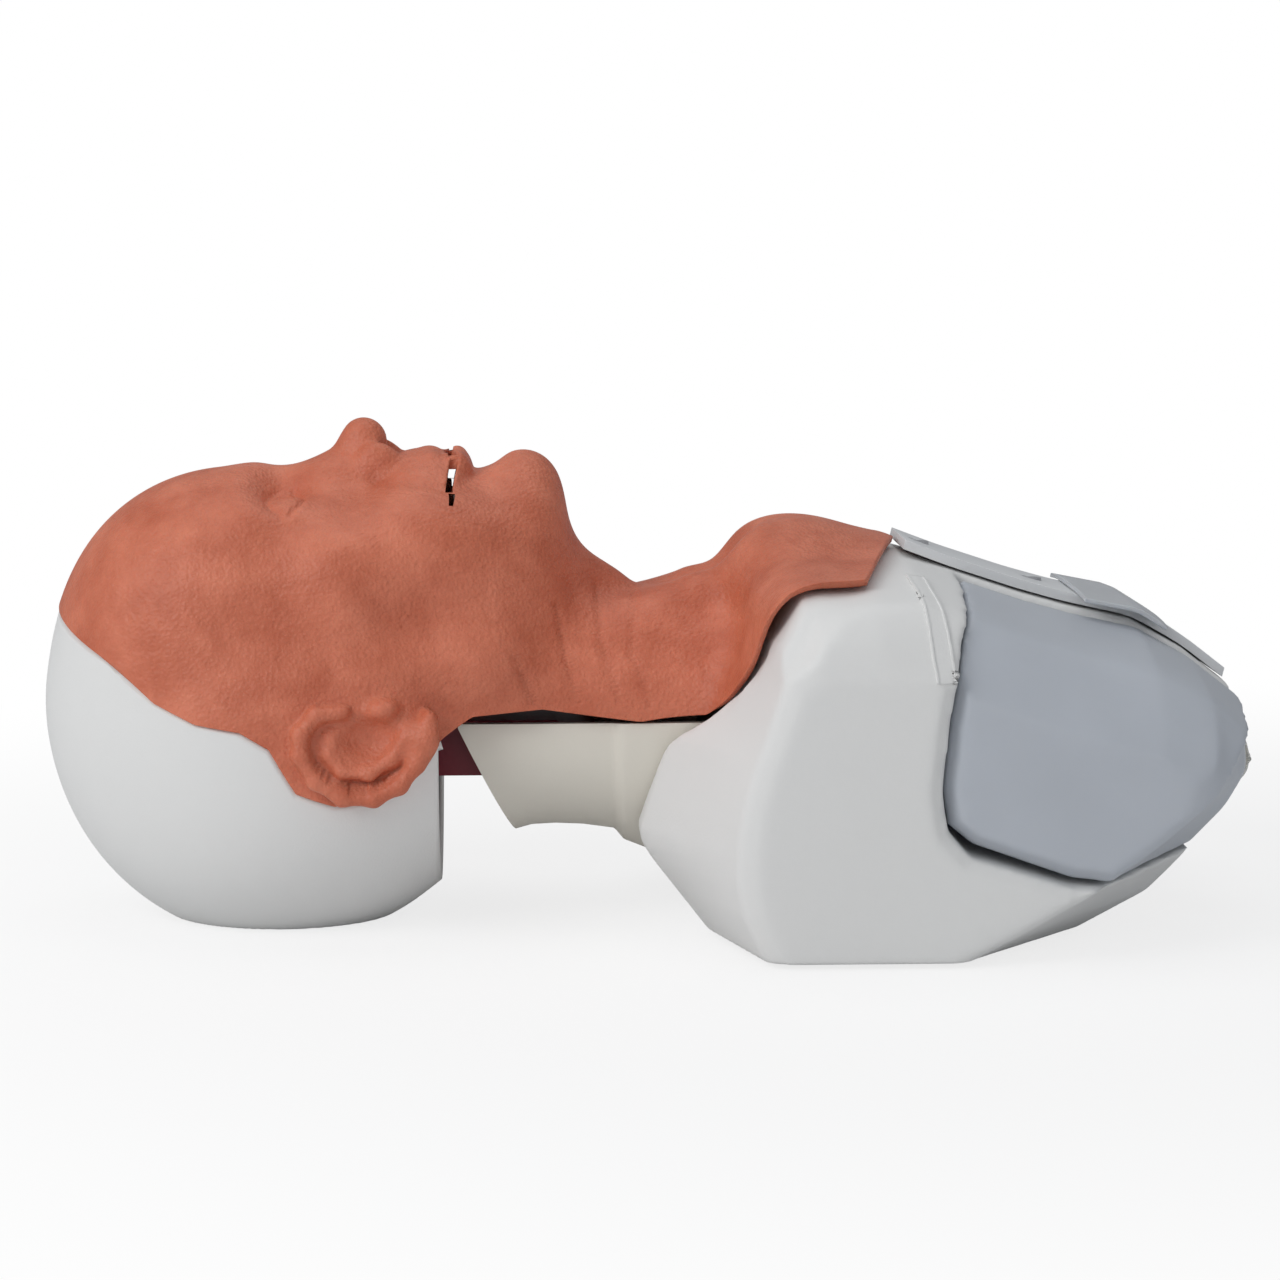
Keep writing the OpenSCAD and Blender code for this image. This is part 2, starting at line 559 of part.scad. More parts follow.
// Height of the chest flap's edge over the front face, at distance w; above it the
// shell draws back under the skin
FLAP_EDGE = [[50, 90], [56, 94], [64, 102], [77, 116], [99, 144], [104, 152]];
function front_x(z, w) = let(
    p = mix(look(FRONT_CORE, z), look(FRONT_SIDE, z), side_share(w)),
    g = max(0, min(1, 1 + (z - look(FLAP_EDGE, w))/12)))
    g > 0 ? mix(p, max(p, skin_back(z, w)), g) : p;
function chest_outline(w) = let(
    f = side_share(w),
    edge = 10*pow(max(0, w - (chest_half_w - 6))/6, 2),
    low = top_drop(w),
    over = [for (x = [-50, -36, -20]) let(u = x + edge*0.8)
        [u, min(160 - 0.85*low, skin_floor(u, w)) - edge*0.6]],
    rise = min(130, over[0].y - 6),
    front = [for (z = [mat_t, 12, 24, 34, 42, 50, 62, 76, 86, 95, 104, 114, 122, 130])
        let(h = z > 76 ? 76 + (z - 76)*(rise - 76)/54 : z) [front_x(h, w) + edge, h]],
    slope = [for (i = [0:5]) let(p = mix(TAIL_CORE[i], TAIL_SIDE[i], f)) [p.y, p.x]],
    top = [for (i = [6:-1:0]) let(p = mix(TOP_CORE[i], TOP_SIDE[i], f), z = p.y - low)
        [i == 0 ? min(p.x, look(slope, z) + 1) - edge*0.7 : p.x - (i < 2 ? edge : 0), min(z, p.x < 1 ? skin_floor(0, w) : 999)]],
    tail = [for (i = [5:-1:0]) let(z = slope[i][0]*(1 - 0.95*low/104))
        [look(slope, z) - edge*0.7, i == 0 ? mat_t : z]])
    concat(front, over, top, tail);
function between(f) = mix(core_half_w, chest_half_w - 6, f);
CHEST_Y = [
    0, core_half_w/2, core_half_w, between(0.2), between(0.37), between(0.67), between(0.87),
    chest_half_w - 6, chest_half_w - 1.5, chest_half_w + 2
];
module chest_body() {
    ys = concat([for (i = [len(CHEST_Y) - 1:-1:1]) -CHEST_Y[i]], CHEST_Y);
    intersection() {
        loft(ys, [for (y = ys) chest_outline(abs(y))]);
        slab_xz(-chest_half_w, chest_half_w) square(500, center = true);
    }
}
// Hollow behind the shoulders, open underneath
module chest_hollow() {
    w = chest_half_w - 12;
    half = [core_half_w, between(0.2), between(0.37), between(0.67), w];
    ys = concat([for (i = [4:-1:0]) -half[i]], [0], half);
    front = [0, 20, 40, 60, 76, 86, 95, 104, 115, 135];
    loft(ys, [for (y = ys) let(k = 1 - top_drop(abs(y))/45) concat(
        [for (t = front) let(z = t > 90 ? 90 + (t - 90)*k : t)
            [min(-50, front_x(z, abs(y)) + chest_wall*1.6 + (abs(y) == w ? 4 : 0)), z == 0 ? -5 : z]],
        [[-46, 146 - chest_wall - top_drop(abs(y))], [-8, 148 - chest_wall - top_drop(abs(y))], [-8, -5]])]);
}
// Opening for the neck
opening_w = 50.3 + seat_gap;
opening_low = 23 - seat_gap;
module neck_opening() {
    translate([-130, 0, 0])
        rotate([90, 0, 90])
            linear_extrude(88)
                polygon(concat([[-opening_w, 190]], [for (k = [0:20]) let(f = -90 + 9*k)
                    [opening_w*sin(f), cradle_c - (cradle_c - opening_low)*cos(f)]], [[opening_w, 190]]));
}
// The pocket's rim as seen from the side; it runs out past the waist end
POCKET = [
    [24, 190], [22, 149], [14.5, 133], [9, 102], [6, 73], [8.5, 56], [18, 45], [60, 32],
    [84, 30.5], [170, 44], [170, 190]
];
// The hollow inside a lung
LUNG_ROOM = [
    [28, 130], [21, 120], [15, 98], [12, 74], [15, 58], [24, 49], [58, 40], [64, 42], [84, 58],
    [100, 72], [109, 84], [112, 90], [108, 96], [92, 106], [60, 118]
];
lung_y0 = 37;
lung_y1 = chest_half_w - 5;
lung_in = chest_half_w - lung_y1;
function shrunk(P, g) = let(n = len(P)) [for (i = [0:n - 1]) let(
    a = P[(i + n - 1)%n], b = P[i], c = P[(i + 1)%n],
    u = unit(b - a), v = unit(c - b),
    q = unit([-u.y - v.y, u.x + v.x]),
    m = g/max(0.5, q*[-u.y, u.x])) b + q*m];
module lung() {
    ys = concat([lung_y0 - 3], [for (f = [0.18, 0.33, 0.52, 0.72, 0.84, 0.93]) mix(lung_y0, lung_y1, f)],
        [lung_y1 - 1.5, lung_y1 + 2]);
    difference() {
        intersection() {
            loft(ys, [for (y = ys) [for (p = chest_outline(y + lung_in)) p - [0, 0.6]]]);
            slab_xz(lung_y0, lung_y1) polygon(shrunk(POCKET, lung_gap));
        }
        slab_xz(lung_y0 + lung_wall, lung_y1 - 16) polygon(LUNG_ROOM);
        rod_y(tee_at, collar_r - 2, lung_y0 - 1, lung_y0 + 4);
    }
}
collar_r = 13;
module lung_left() {
    color([0.8, 0.83, 0.86, 0.8]) lung();
}
module lung_right() {
    color([0.8, 0.83, 0.86, 0.8]) mirror([0, 1, 0]) lung();
}
module lung_collars() {
    color([0.5, 0.06, 0.1])
        both_sides()
            difference() {
                rod_y(tee_at, collar_r, 33 - 8, lung_y0 - 0.4);
                rod_y(tee_at, tee_r, 24, lung_y0);
            }
}
bag_at = [133, 0, 66];
bag_r = [25, 29, 19];
module chest_shell() {
    color([0.93, 0.93, 0.92])
        difference() {
            chest_body();
            chest_hollow();
            neck_opening();
            both_sides() slab_xz(ridge_half_w + 2, chest_half_w + 16) polygon(POCKET);
            both_sides() rod_y(tee_at, collar_r + 0.5, 10, 45);
            translate([-12, -17, 52]) cube([122, 34, 66]);
            translate([98, 0, bag_at.z]) rotate([0, 90, 0])
                linear_extrude(80) polygon([for (k = [0:23]) [(bag_r.z + 0.5)*cos(15*k), (bag_r.y + 0.5)*sin(15*k)]]);
            for (x = [10, 60]) translate([x, 0, 120]) cylinder(r = screw_r, h = 60);
        }
}
module stomach_bag() {
    color([0.82, 0.82, 0.78, 0.85])
        difference() {
            translate(bag_at) scale(bag_r) sphere(r = 1);
            translate(bag_at) scale(bag_r - [2, 2, 2]) sphere(r = 1);
        }
}
module gullet_collar() {
    color([0.5, 0.06, 0.1])
        translate([98.5, 0, 66]) rotate([0, 90, 0])
            difference() {
                cylinder(r = gullet_r + tube_wall + 3, h = 10.5);
                translate([0, 0, -1]) cylinder(r = gullet_r + tube_wall + seat_gap, h = 14);
            }
}
module base_mat() {
    color([0.12, 0.12, 0.13])
        linear_extrude(mat_t)
            let(w = chest_half_w - 12)
                polygon([[-58, -w], [6, -w], [62, -52], [62, 52], [6, w], [-58, w], [-74, 50], [-74, -50]]);
}
COVER_SCREWS = [[10, 160], [60, 143.6]];
COVER = [[0, 161.6], [19, 154.4], [50, 144.2], [70, 138.6], [99, 132.2], [121, 119.8], [140, 105]];
module sternum_cover() {
    color([0.9, 0.91, 0.92])
        difference() {
            slab_xz(-ridge_half_w + 2, ridge_half_w - 2)
                polygon(concat(COVER, [for (i = [len(COVER) - 1:-1:0]) COVER[i] + [1, cover_t]]));
            for (p = COVER_SCREWS) {
                translate([p.x, 0, 120]) cylinder(r = screw_r, h = 60);
                translate([p.x, 0, p.y]) cylinder(r = screw_r*1.7 + seat_gap, h = 20);
            }
        }
}
module cover_screws() {
    color([0.75, 0.75, 0.77])
        for (p = COVER_SCREWS)
            translate([p.x, 0, p.y - 14]) {
                cylinder(r = screw_r, h = 14);
                translate([0, 0, 14]) cylinder(r = screw_r*1.7, h = 2.2);
            }
}
module chest_strap() {
    color([0.86, 0.88, 0.9, 0.8])
        slab_xz(-46, 46)
            polygon([[76, 142], [99, 137.4], [112, 129.5], [112, 131.5], [99.5, 139.4], [76, 144]]);
}

head_shell();
face_skin();
skull_frame();
head_bracket();
bracket_screws();
jaw_pins();
upper_teeth();
mandible();
lower_teeth();
tongue();
neck_cradle();
neck_spigot();
tilt_pin();
airway();
trachea();
gullet();
chest_shell();
base_mat();
sternum_cover();
cover_screws();
chest_strap();
lung_right();
lung_left();
lung_collars();
stomach_bag();
gullet_collar();
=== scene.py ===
import math

import bmesh
import bpy
import numpy as np
from mathutils import Matrix, Vector


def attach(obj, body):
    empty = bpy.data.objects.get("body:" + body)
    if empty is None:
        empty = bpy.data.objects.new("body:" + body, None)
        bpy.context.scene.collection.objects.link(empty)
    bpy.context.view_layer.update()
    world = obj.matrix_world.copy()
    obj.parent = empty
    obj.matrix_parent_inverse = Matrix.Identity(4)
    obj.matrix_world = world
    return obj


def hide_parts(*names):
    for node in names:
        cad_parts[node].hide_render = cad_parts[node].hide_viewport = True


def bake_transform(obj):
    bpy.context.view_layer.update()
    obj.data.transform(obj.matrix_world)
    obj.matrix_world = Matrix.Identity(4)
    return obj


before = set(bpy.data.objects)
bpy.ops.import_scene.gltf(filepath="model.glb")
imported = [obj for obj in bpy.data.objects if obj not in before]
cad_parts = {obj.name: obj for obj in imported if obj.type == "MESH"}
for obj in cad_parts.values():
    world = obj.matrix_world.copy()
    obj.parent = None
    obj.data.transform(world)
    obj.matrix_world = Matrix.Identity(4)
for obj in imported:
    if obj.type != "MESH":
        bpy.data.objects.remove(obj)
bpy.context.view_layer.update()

# Where the trainer is seen from: level with its side, a little above, from 1.45 m.
camera = bpy.data.objects.new("camera", bpy.data.cameras.new("camera"))
camera.location = (-0.1712, -1.450, 0.3217)
looked_at = Vector((-0.1125, 0.0, 0.119))
camera.rotation_euler = (looked_at - camera.location).to_track_quat("-Z", "Y").to_euler()
camera.data.lens = 93.8
camera.data.sensor_width = 36
bpy.context.scene.collection.objects.link(camera)
bpy.context.scene.camera = camera
bpy.context.scene.view_settings.view_transform = "Standard"


# The white table and background of a studio picture. The table takes a faint shadow
# near the trainer and turns plain white further away.
def shader(name):
    material = bpy.data.materials.new(name)
    material.use_nodes = True
    nodes = material.node_tree.nodes
    nodes.clear()
    return material, nodes, material.node_tree.links


def finish_object(name, mesh):
    piece = bpy.data.objects.new(name, mesh)
    bpy.context.scene.collection.objects.link(piece)
    mesh.shade_smooth()
    return piece


table_paint, nodes, links = shader("white table")
output = nodes.new("ShaderNodeOutputMaterial")
matt = nodes.new("ShaderNodeBsdfDiffuse")
matt.inputs["Color"].default_value = (0.86, 0.86, 0.86, 1)
glow = nodes.new("ShaderNodeEmission")
shade = nodes.new("ShaderNodeMixShader")
seen = nodes.new("ShaderNodeMixShader")
ray = nodes.new("ShaderNodeLightPath")
place = nodes.new("ShaderNodeTexCoord")
far = nodes.new("ShaderNodeVectorMath")
far.operation = "LENGTH"
spread = nodes.new("ShaderNodeMapRange")
spread.interpolation_type = "SMOOTHSTEP"
spread.inputs["From Min"].default_value = 0.25
spread.inputs["From Max"].default_value = 0.75
spread.inputs["To Min"].default_value = 0.78
spread.inputs["To Max"].default_value = 1.0
links.new(place.outputs["Object"], far.inputs[0])
links.new(far.outputs["Value"], spread.inputs["Value"])
links.new(spread.outputs["Result"], shade.inputs["Fac"])
links.new(matt.outputs[0], shade.inputs[1])
links.new(glow.outputs[0], shade.inputs[2])
links.new(ray.outputs["Is Camera Ray"], seen.inputs["Fac"])
links.new(matt.outputs[0], seen.inputs[1])
links.new(shade.outputs[0], seen.inputs[2])
links.new(seen.outputs[0], output.inputs["Surface"])
top = bmesh.new()
bmesh.ops.create_grid(top, x_segments=8, y_segments=8, size=9.0)
for v in top.verts:
    v.co.z = -0.0006
table_mesh = bpy.data.meshes.new("table_top")
top.to_mesh(table_mesh)
table_top = finish_object("table_top", table_mesh)
table_mesh.materials.append(table_paint)

sky = bpy.data.worlds.new("studio")
bpy.context.scene.world = sky
sky.use_nodes = True
nodes, links = sky.node_tree.nodes, sky.node_tree.links
nodes.clear()
output = nodes.new("ShaderNodeOutputWorld")
white = nodes.new("ShaderNodeBackground")
white.inputs["Color"].default_value = (1, 1, 1, 1)
dim = nodes.new("ShaderNodeBackground")
dim.inputs["Color"].default_value = (0.93, 0.96, 1.0, 1)
dim.inputs["Strength"].default_value = 0.33
pick = nodes.new("ShaderNodeMixShader")
ray = nodes.new("ShaderNodeLightPath")
either = nodes.new("ShaderNodeMath")
either.operation = "MAXIMUM"
links.new(ray.outputs["Is Camera Ray"], either.inputs[0])
links.new(ray.outputs["Is Transmission Ray"], either.inputs[1])
links.new(either.outputs[0], pick.inputs["Fac"])
links.new(dim.outputs[0], pick.inputs[1])
links.new(white.outputs[0], pick.inputs[2])
links.new(pick.outputs[0], output.inputs["Surface"])


def soft_box(name, place, size, power, aim=(-0.1, 0.0, 0.1)):
    lamp = bpy.data.lights.new(name, "AREA")
    lamp.shape = "RECTANGLE"
    lamp.size, lamp.size_y = size
    lamp.energy = power
    box = bpy.data.objects.new(name, lamp)
    box.location = place
    box.rotation_euler = (Vector(aim) - Vector(place)).to_track_quat("-Z", "Y").to_euler()
    bpy.context.scene.collection.objects.link(box)


# soft light from beyond the crown, from above and, faintly, from the front
soft_box("key_light", (-1.5, -1.1, 1.25), (1.1, 1.1), 18)
soft_box("overhead_light", (-0.1, 0.3, 1.9), (1.6, 1.2), 8)
soft_box("front_light", (0.3, -2.2, 0.7), (1.4, 0.9), 3.6)

# The skin of the face, neck and breast: one sheet of silicone about 3 mm thick, cast
# over a clay head. The same clay is described here by balls and rods in millimetres,
# blended into one another; a point of the skin is found along a ray from inside.
SKIN_T = 3.0
SKIN_GAP = 0.9
CRANIUM_HALF_W = 76
HEAD_C = np.array([-272.0, 0.0, 95.0])
TILT_COS, TILT_SIN = math.cos(math.radians(6)), math.sin(math.radians(6))
EAR_Y = CRANIUM_HALF_W - 4
# (add 1 or carve -1, centre, radii, blend) for a ball and
# (sign, end, end, radius, radius, blend) for a rod, in the head's own axes
CLAY = [
    # cranium, back of the head and face
    (1, (-4, 0, -2), (97, CRANIUM_HALF_W, 100), 1),
    (1, (8, 0, -30), (82, CRANIUM_HALF_W - 2, 71), 30),
    (1, (42, 0, 38), (76, 57, 54), 20),
    # cheekbones, upper jaw, jaw line and chin
    (1, (36, 44, 50), (24, 22, 24), 16),
    (1, (74, 0, 66), (28, 34, 30), 16),
    (1, (48, 55, 6), (92, 44, 16), 13, 12, 22),
    (1, (92, 44, 16), (116, 16, 66), 12, 13, 24),
    (1, (118, 0, 80), (15, 17, 16), 14),
    (1, (106, 0, 42), (28, 40, 36), 24),
    (1, (74, 36, 54), (30, 22, 28), 20),
    # forehead, brow and temple
    (1, (-20, 0, 40), (60, 62, 58), 20),
    (1, (2, 10, 88), (1, 38, 77), 8, 7, 14),
    (-1, (0, 94, 50), (34, 18, 30), 20),
    # eye sockets and closed lids
    (-1, (17, 30, 100), (11, 17, 14), 12),
    (1, (18, 31, 77), (12, 15, 11.5), 5),
    # nose: bridge, side walls, tip and wings
    (1, (10, 0, 83), (44, 0, 101), 8, 7.5, 10),
    (1, (40, 9, 88), (20, 10, 13), 8),
    (1, (51, 0, 107), (10, 9.5, 10.5), 6),
    (1, (56, 12, 98), (9, 6.5, 9), 4),
    # muzzle and lips
    (1, (74, 0, 78), (18, 26, 22), 12),
    (1, (79, 0, 96.5), (80, 12, 94), 5, 4.5, 4),
    (1, (80, 12, 94), (84, 24, 86), 4.5, 2.5, 5),
    (1, (91, 0, 95.5), (90, 12, 93), 5.5, 5, 4),
    (1, (90, 12, 93), (86, 24, 85), 5, 2.5, 5),
    (-1, (66, 0, 105), (72, 0, 106), 2.5, 2.5, 4),
    (-1, (103, 0, 104), (5, 18, 9), 9),
    # ear: body and bowl
    (1, (42, EAR_Y, -14), (26, 9, 17), 6),
]
EAR_RIM = [(33, 80, 2), (22, 81, 2), (15, 82, -5), (14, 83, -14), (19, 84, -25), (29, 84, -33),
           (42, 83, -35), (53, 82, -31), (61, 81, -23), (67, 80, -13), (69, 79, -5)]
EAR_FOLD = [(27, 78, -8), (25, 79, -15), (30, 80.5, -23), (41, 81, -25), (51, 80, -20), (57, 79, -12)]
EAR = [(1, EAR_RIM[i], EAR_RIM[i + 1], 3.3, 3.3, 3) for i in range(len(EAR_RIM) - 1)]
EAR += [
    (1, (62, 78, -14), (8, 5, 8), 5),
    (-1, (43, 84, -10), (13, 10, 10), 4),
]
EAR += [(1, EAR_FOLD[i], EAR_FOLD[i + 1], 2.4, 2.4, 3) for i in range(len(EAR_FOLD) - 1)]
EAR += [
    (1, (50, 77, 1), (6, 5, 4), 4),
    (-1, (61, 6.5, 100), (5.5, 3.4, 5), 2.5),
]
CLAY += EAR


def ball(p, c, r):
    """Signed distance to an ellipsoid."""
    u = (p - np.array(c, float))/np.array(r, float)
    k = np.linalg.norm(u, axis=1)
    return k*(k - 1)/(np.linalg.norm(u/np.array(r, float), axis=1) + 1e-6)


def rod(p, a, b, ra, rb):
    """Signed distance to a tapered rod with round ends."""
    a, b = np.array(a, float), np.array(b, float)
    v = b - a
    h = np.clip((p - a) @ v/(v @ v), 0, 1)
    return np.linalg.norm(p - a - h[:, None]*v, axis=1) - ra - (rb - ra)*h


def join(a, b, k):
    """Two shapes run into one another over the width k."""
    h = np.maximum(k - np.abs(a - b), 0)/k
    return np.minimum(a, b) - h*h*k/4


def to_head(p):
    x, z = p[:, 0] - HEAD_C[0], p[:, 2] - HEAD_C[2]
    return np.stack([x*TILT_COS + z*TILT_SIN, np.abs(p[:, 1]), z*TILT_COS - x*TILT_SIN], axis=1)


def clay(p):
    d = None
    for q in CLAY:
        v = ball(p, q[1], q[2]) if len(q) == 4 else rod(p, q[1], q[2], q[3], q[4])
        if d is None:
            d = v
        elif q[0] > 0:
            d = join(d, v, q[-1])
        else:
            d = -join(-d, v, q[-1])
    return d


def trunk(p):
    neck = rod(p, (-215, 0, 86), (-95, 0, 92), 54, 52)
    neck = join(neck, rod(p, (-205, 44, 70), (-90, 14, 140), 14, 8), 14)
    neck = join(neck, ball(p, (-134, 0, 143), (14, 9, 9)), 12)
    breast = ball(p, (-10, 0, 60), (78, 230, 105))
    breast = join(breast, rod(p, (-56, 16, 150), (-48, 92, 139), 13, 14), 26)
    breast = join(breast, ball(p, (-45, 0, 150), (30, 40, 22)), 20)
    return -join(-join(neck, breast, 20), ball(p, (-80, 0, 170), (10, 9, 12)), 14)


def flesh(p):
    """Signed distance to the clay of head, neck and breast; below 0 is inside."""
    q = np.stack([p[:, 0], np.abs(p[:, 1]), p[:, 2]], axis=1)
    d = trunk(q)
    near = p[:, 0] <= -90
    if near.any():
        d[near] = join(clay(to_head(p[near])), d[near], 26)
    return d


def walk(start, way, t, level, steps=26):
    """Walk inwards along rays until the clay's distance is the wanted level."""
    t = np.broadcast_to(np.asarray(t, float), (len(start),)).copy()
    for _ in range(steps):
        t = np.maximum(0, t - 0.92*(flesh(start + way*t[:, None]) - level))
    return t


# share of the way from hairline to chest, inner point of the ray in X and Z, aim on
# the centre line and aim at the skin's edge
SKIN_ROWS = np.array([
    (0.00, -268, 100, -362, 0, 137, -334, 59, 117),
    (0.08, -268, 100, -350, 0, 156, -318, 68, 103),
    (0.16, -268, 100, -320, 0, 185, -300, 74, 95),
    (0.25, -266, 98, -284, 0, 193, -282, 79, 92),
    (0.34, -262, 98, -262, 0, 195, -270, 81, 85),
    (0.43, -254, 98, -232, 0, 215, -259, 81, 66),
    (0.52, -244, 98, -205, 0, 205, -243, 80, 59),
    (0.60, -230, 98, -178, 0, 205, -226, 77, 60),
    (0.68, -210, 96, -152, 0, 198, -206, 67, 76),
    (0.715, -200, 95, -146, 0, 186, -200, 62, 86),
    (0.745, -188, 94, -138, 0, 172, -186, 57, 95),
    (0.79, -155, 92, -120, 0, 148, -156, 54, 97),
    (0.84, -115, 92, -97, 0, 146, -114, 58, 91),
    (0.89, -84, 88, -74, 0, 168, -87, 76, 97),
    (0.93, -66, 60, -50, 0, 175, -72, 91, 126),
    (0.965, -50, 40, -28, 0, 172, -54, 97, 150),
    (1.00, -30, 40, -2, 0, 162, -22, 90, 157),
], float)


def unit(v):
    return v/np.linalg.norm(v, axis=1)[:, None]


def arc(a, b, f):
    w = np.arccos(np.clip((a*b).sum(1), -1, 1))
    return unit(a*np.sin((1 - f)*w)[:, None] + b*np.sin(f*w)[:, None])


def skin_ray(s, c):
    q = [np.interp(s, SKIN_ROWS[:, 0], SKIN_ROWS[:, k]) for k in range(1, 9)]
    start = np.stack([q[0], q[0]*0, q[1]], axis=1)
    way = arc(unit(np.stack(q[2:5], axis=1) - start), unit(np.stack(q[5:8], axis=1) - start), np.abs(c))
    way[:, 1] *= np.where(c < 0, -1, 1)
    return start, way


def crease(p, path, across, width, depth):
    """A shallow groove along a path; `across` names the two axes it is drawn on."""
    q = p[:, across]
    near = np.full(len(p), 1e3)
    for a, b in zip(path[:-1], path[1:]):
        a, b = np.array(a, float), np.array(b, float)
        h = np.clip((q - a) @ (b - a)/((b - a) @ (b - a)), 0, 1)
        near = np.minimum(near, np.linalg.norm(q - a - h[:, None]*(b - a), axis=1))
    return depth*np.exp(-(near/width)**2)


LID_LINE = [(19, 17), (23, 24), (24.5, 31), (23, 38), (18.5, 45)]
LID_FOLD = [(13, 17), (9, 24), (8, 32), (10, 40), (15, 46)]
CHEEK_FOLD = [(55, 21), (64, 27), (74, 31), (84, 34)]
NECK_LINES = [[(-168, 120), (-160, 100)], [(-150, 140), (-146, 118), (-142, 100)],
              [(-132, 146), (-131, 124), (-124, 100)], [(-116, 142), (-118, 120), (-110, 98)]]


def skin_relief(p):
    """How far fine folds of the skin lie under the clay, in millimetres."""
    h = to_head(p)
    front = (h[:, 2] > 45)
    sunk = crease(h, LID_LINE, (0, 1), 0.9, 1.3) + crease(h, LID_FOLD, (0, 1), 1.3, 0.8)
    sunk += crease(h, CHEEK_FOLD, (0, 1), 3.0, 0.9)
    sunk *= front
    for line in NECK_LINES:
        sunk += crease(p, line, (0, 2), 1.1, 0.85)
    return sunk


# where the mouth is parted and where the face's sheet meets the neck's, as shares of the
# way down and across; the sheet's rounded edges, and how much of one is the rounding
MOUTH_S, MOUTH_C = 0.5485, 0.235
LIP_REACH = 0.018
SEAM_MID, SEAM_EDGE = 0.775, 0.715
FACE_HEM, NECK_HEM = 0.02, 0.05
LAP, HEM_BACK = 0.03, 0.02
TURNED = 0.7


def seam_at(c):
    return SEAM_MID + (SEAM_EDGE - SEAM_MID)*np.abs(c)**1.3


def skin_point(s, c, fold):
    """fold runs from 0 on the outside over the rounded edge to 1 on the inside."""
    part = np.abs(c)/MOUTH_C
    parted = np.where(part < 1, np.sqrt(np.clip(1 - part*part, 0, 1)), 0)
    off = s - MOUTH_S
    s = s + np.sign(off)*parted*0.0042*np.exp(-(off/LIP_REACH)**2)
    start, way = skin_ray(s, c)
    t = walk(start, way, 170, 0.0)
    p = start + way*t[:, None]
    level = -SKIN_T*0.5*(1 - np.cos(np.pi*np.clip(fold/TURNED, 0, 1)))
    t = walk(start, way, t, level - skin_relief(p)*(fold < 0.01), 8)
    return start + way*t[:, None]


def laid_grid(rows, columns, place, drop=None):
    """A grid of points laid over the clay; faces listed by `drop` are left open."""
    bm = bmesh.new()
    bmesh.ops.create_grid(bm, x_segments=columns, y_segments=rows, size=1.0)
    if drop:
        holes = [f for f in bm.faces if drop(f.calc_center_median())]
        bmesh.ops.delete(bm, geom=holes, context="FACES")
    grid = np.array([v.co for v in bm.verts])
    put = place((grid[:, 1] + 1)/2, grid[:, 0])
    for v, q in zip(bm.verts, put*0.001):
        v.co = q
    bm.normal_update()
    middle = Vector(put.mean(0)*0.001)
    if sum(f.normal.dot(f.calc_center_median() - middle) for f in bm.faces) < 0:
        bmesh.ops.reverse_faces(bm, faces=bm.faces)
    return bm


def to_piece(bm, name, material):
    mesh = bpy.data.meshes.new(name)
    bm.to_mesh(mesh)
    bm.free()
    mesh.materials.append(material)
    return finish_object(name, mesh)


def edge_fold(g):
    """Split a position across the sheet into its share and its place on the round edge."""
    wide = np.abs(g)*(1 + LAP)
    roll = np.clip((wide - 1)/LAP, 0, 1)
    share = np.minimum(wide, 1) - LAP*np.clip((roll - TURNED)/(1 - TURNED), 0, 1)
    return np.sign(g)*share, roll


def silicone(name, tones, rough, grain):
    """Flesh-coloured silicone: mottled through, with a fine cast grain and small pores."""
    material, nodes, links = shader(name)
    output = nodes.new("ShaderNodeOutputMaterial")
    body = nodes.new("ShaderNodeBsdfPrincipled")
    body.inputs["Roughness"].default_value = rough
    body.inputs["Subsurface Weight"].default_value = 0.12
    body.inputs["Subsurface Radius"].default_value = (0.006, 0.002, 0.001)
    body.inputs["Subsurface Scale"].default_value = 0.6
    body.inputs["Specular IOR Level"].default_value = 0.35
    at = nodes.new("ShaderNodeTexCoord")
    blotch = nodes.new("ShaderNodeTexNoise")
    blotch.inputs["Scale"].default_value = 38
    blotch.inputs["Detail"].default_value = 6
    blotch.inputs["Roughness"].default_value = 0.62
    tone = nodes.new("ShaderNodeValToRGB")
    tone.color_ramp.elements[0].position = 0.34
    tone.color_ramp.elements[1].position = 0.68
    for element, colour in zip(tone.color_ramp.elements, tones):
        element.color = (*colour, 1)
    pores = nodes.new("ShaderNodeTexVoronoi")
    pores.inputs["Scale"].default_value = 620
    fine = nodes.new("ShaderNodeTexNoise")
    fine.inputs["Scale"].default_value = 420
    fine.inputs["Detail"].default_value = 4
    pits = nodes.new("ShaderNodeMath")
    pits.operation = "MULTIPLY_ADD"
    pits.inputs[1].default_value = 0.5
    bump = nodes.new("ShaderNodeBump")
    bump.inputs["Strength"].default_value = grain
    bump.inputs["Distance"].default_value = 0.0006
    links.new(at.outputs["Object"], blotch.inputs["Vector"])
    links.new(at.outputs["Object"], pores.inputs["Vector"])
    links.new(at.outputs["Object"], fine.inputs["Vector"])
    links.new(blotch.outputs["Fac"], tone.inputs["Fac"])
    links.new(tone.outputs["Color"], body.inputs["Base Color"])
    links.new(pores.outputs["Distance"], pits.inputs[0])
    links.new(fine.outputs["Fac"], pits.inputs[2])
    links.new(pits.outputs[0], bump.inputs["Height"])
    links.new(bump.outputs["Normal"], body.inputs["Normal"])
    links.new(body.outputs[0], output.inputs["Surface"])
    return material


flesh_silicone = silicone("flesh silicone", [(0.52, 0.130, 0.066), (0.70, 0.215, 0.124)], 0.46, 0.9)
COLUMNS = 300
FACE_ROWS = 260
NECK_ROWS = 88


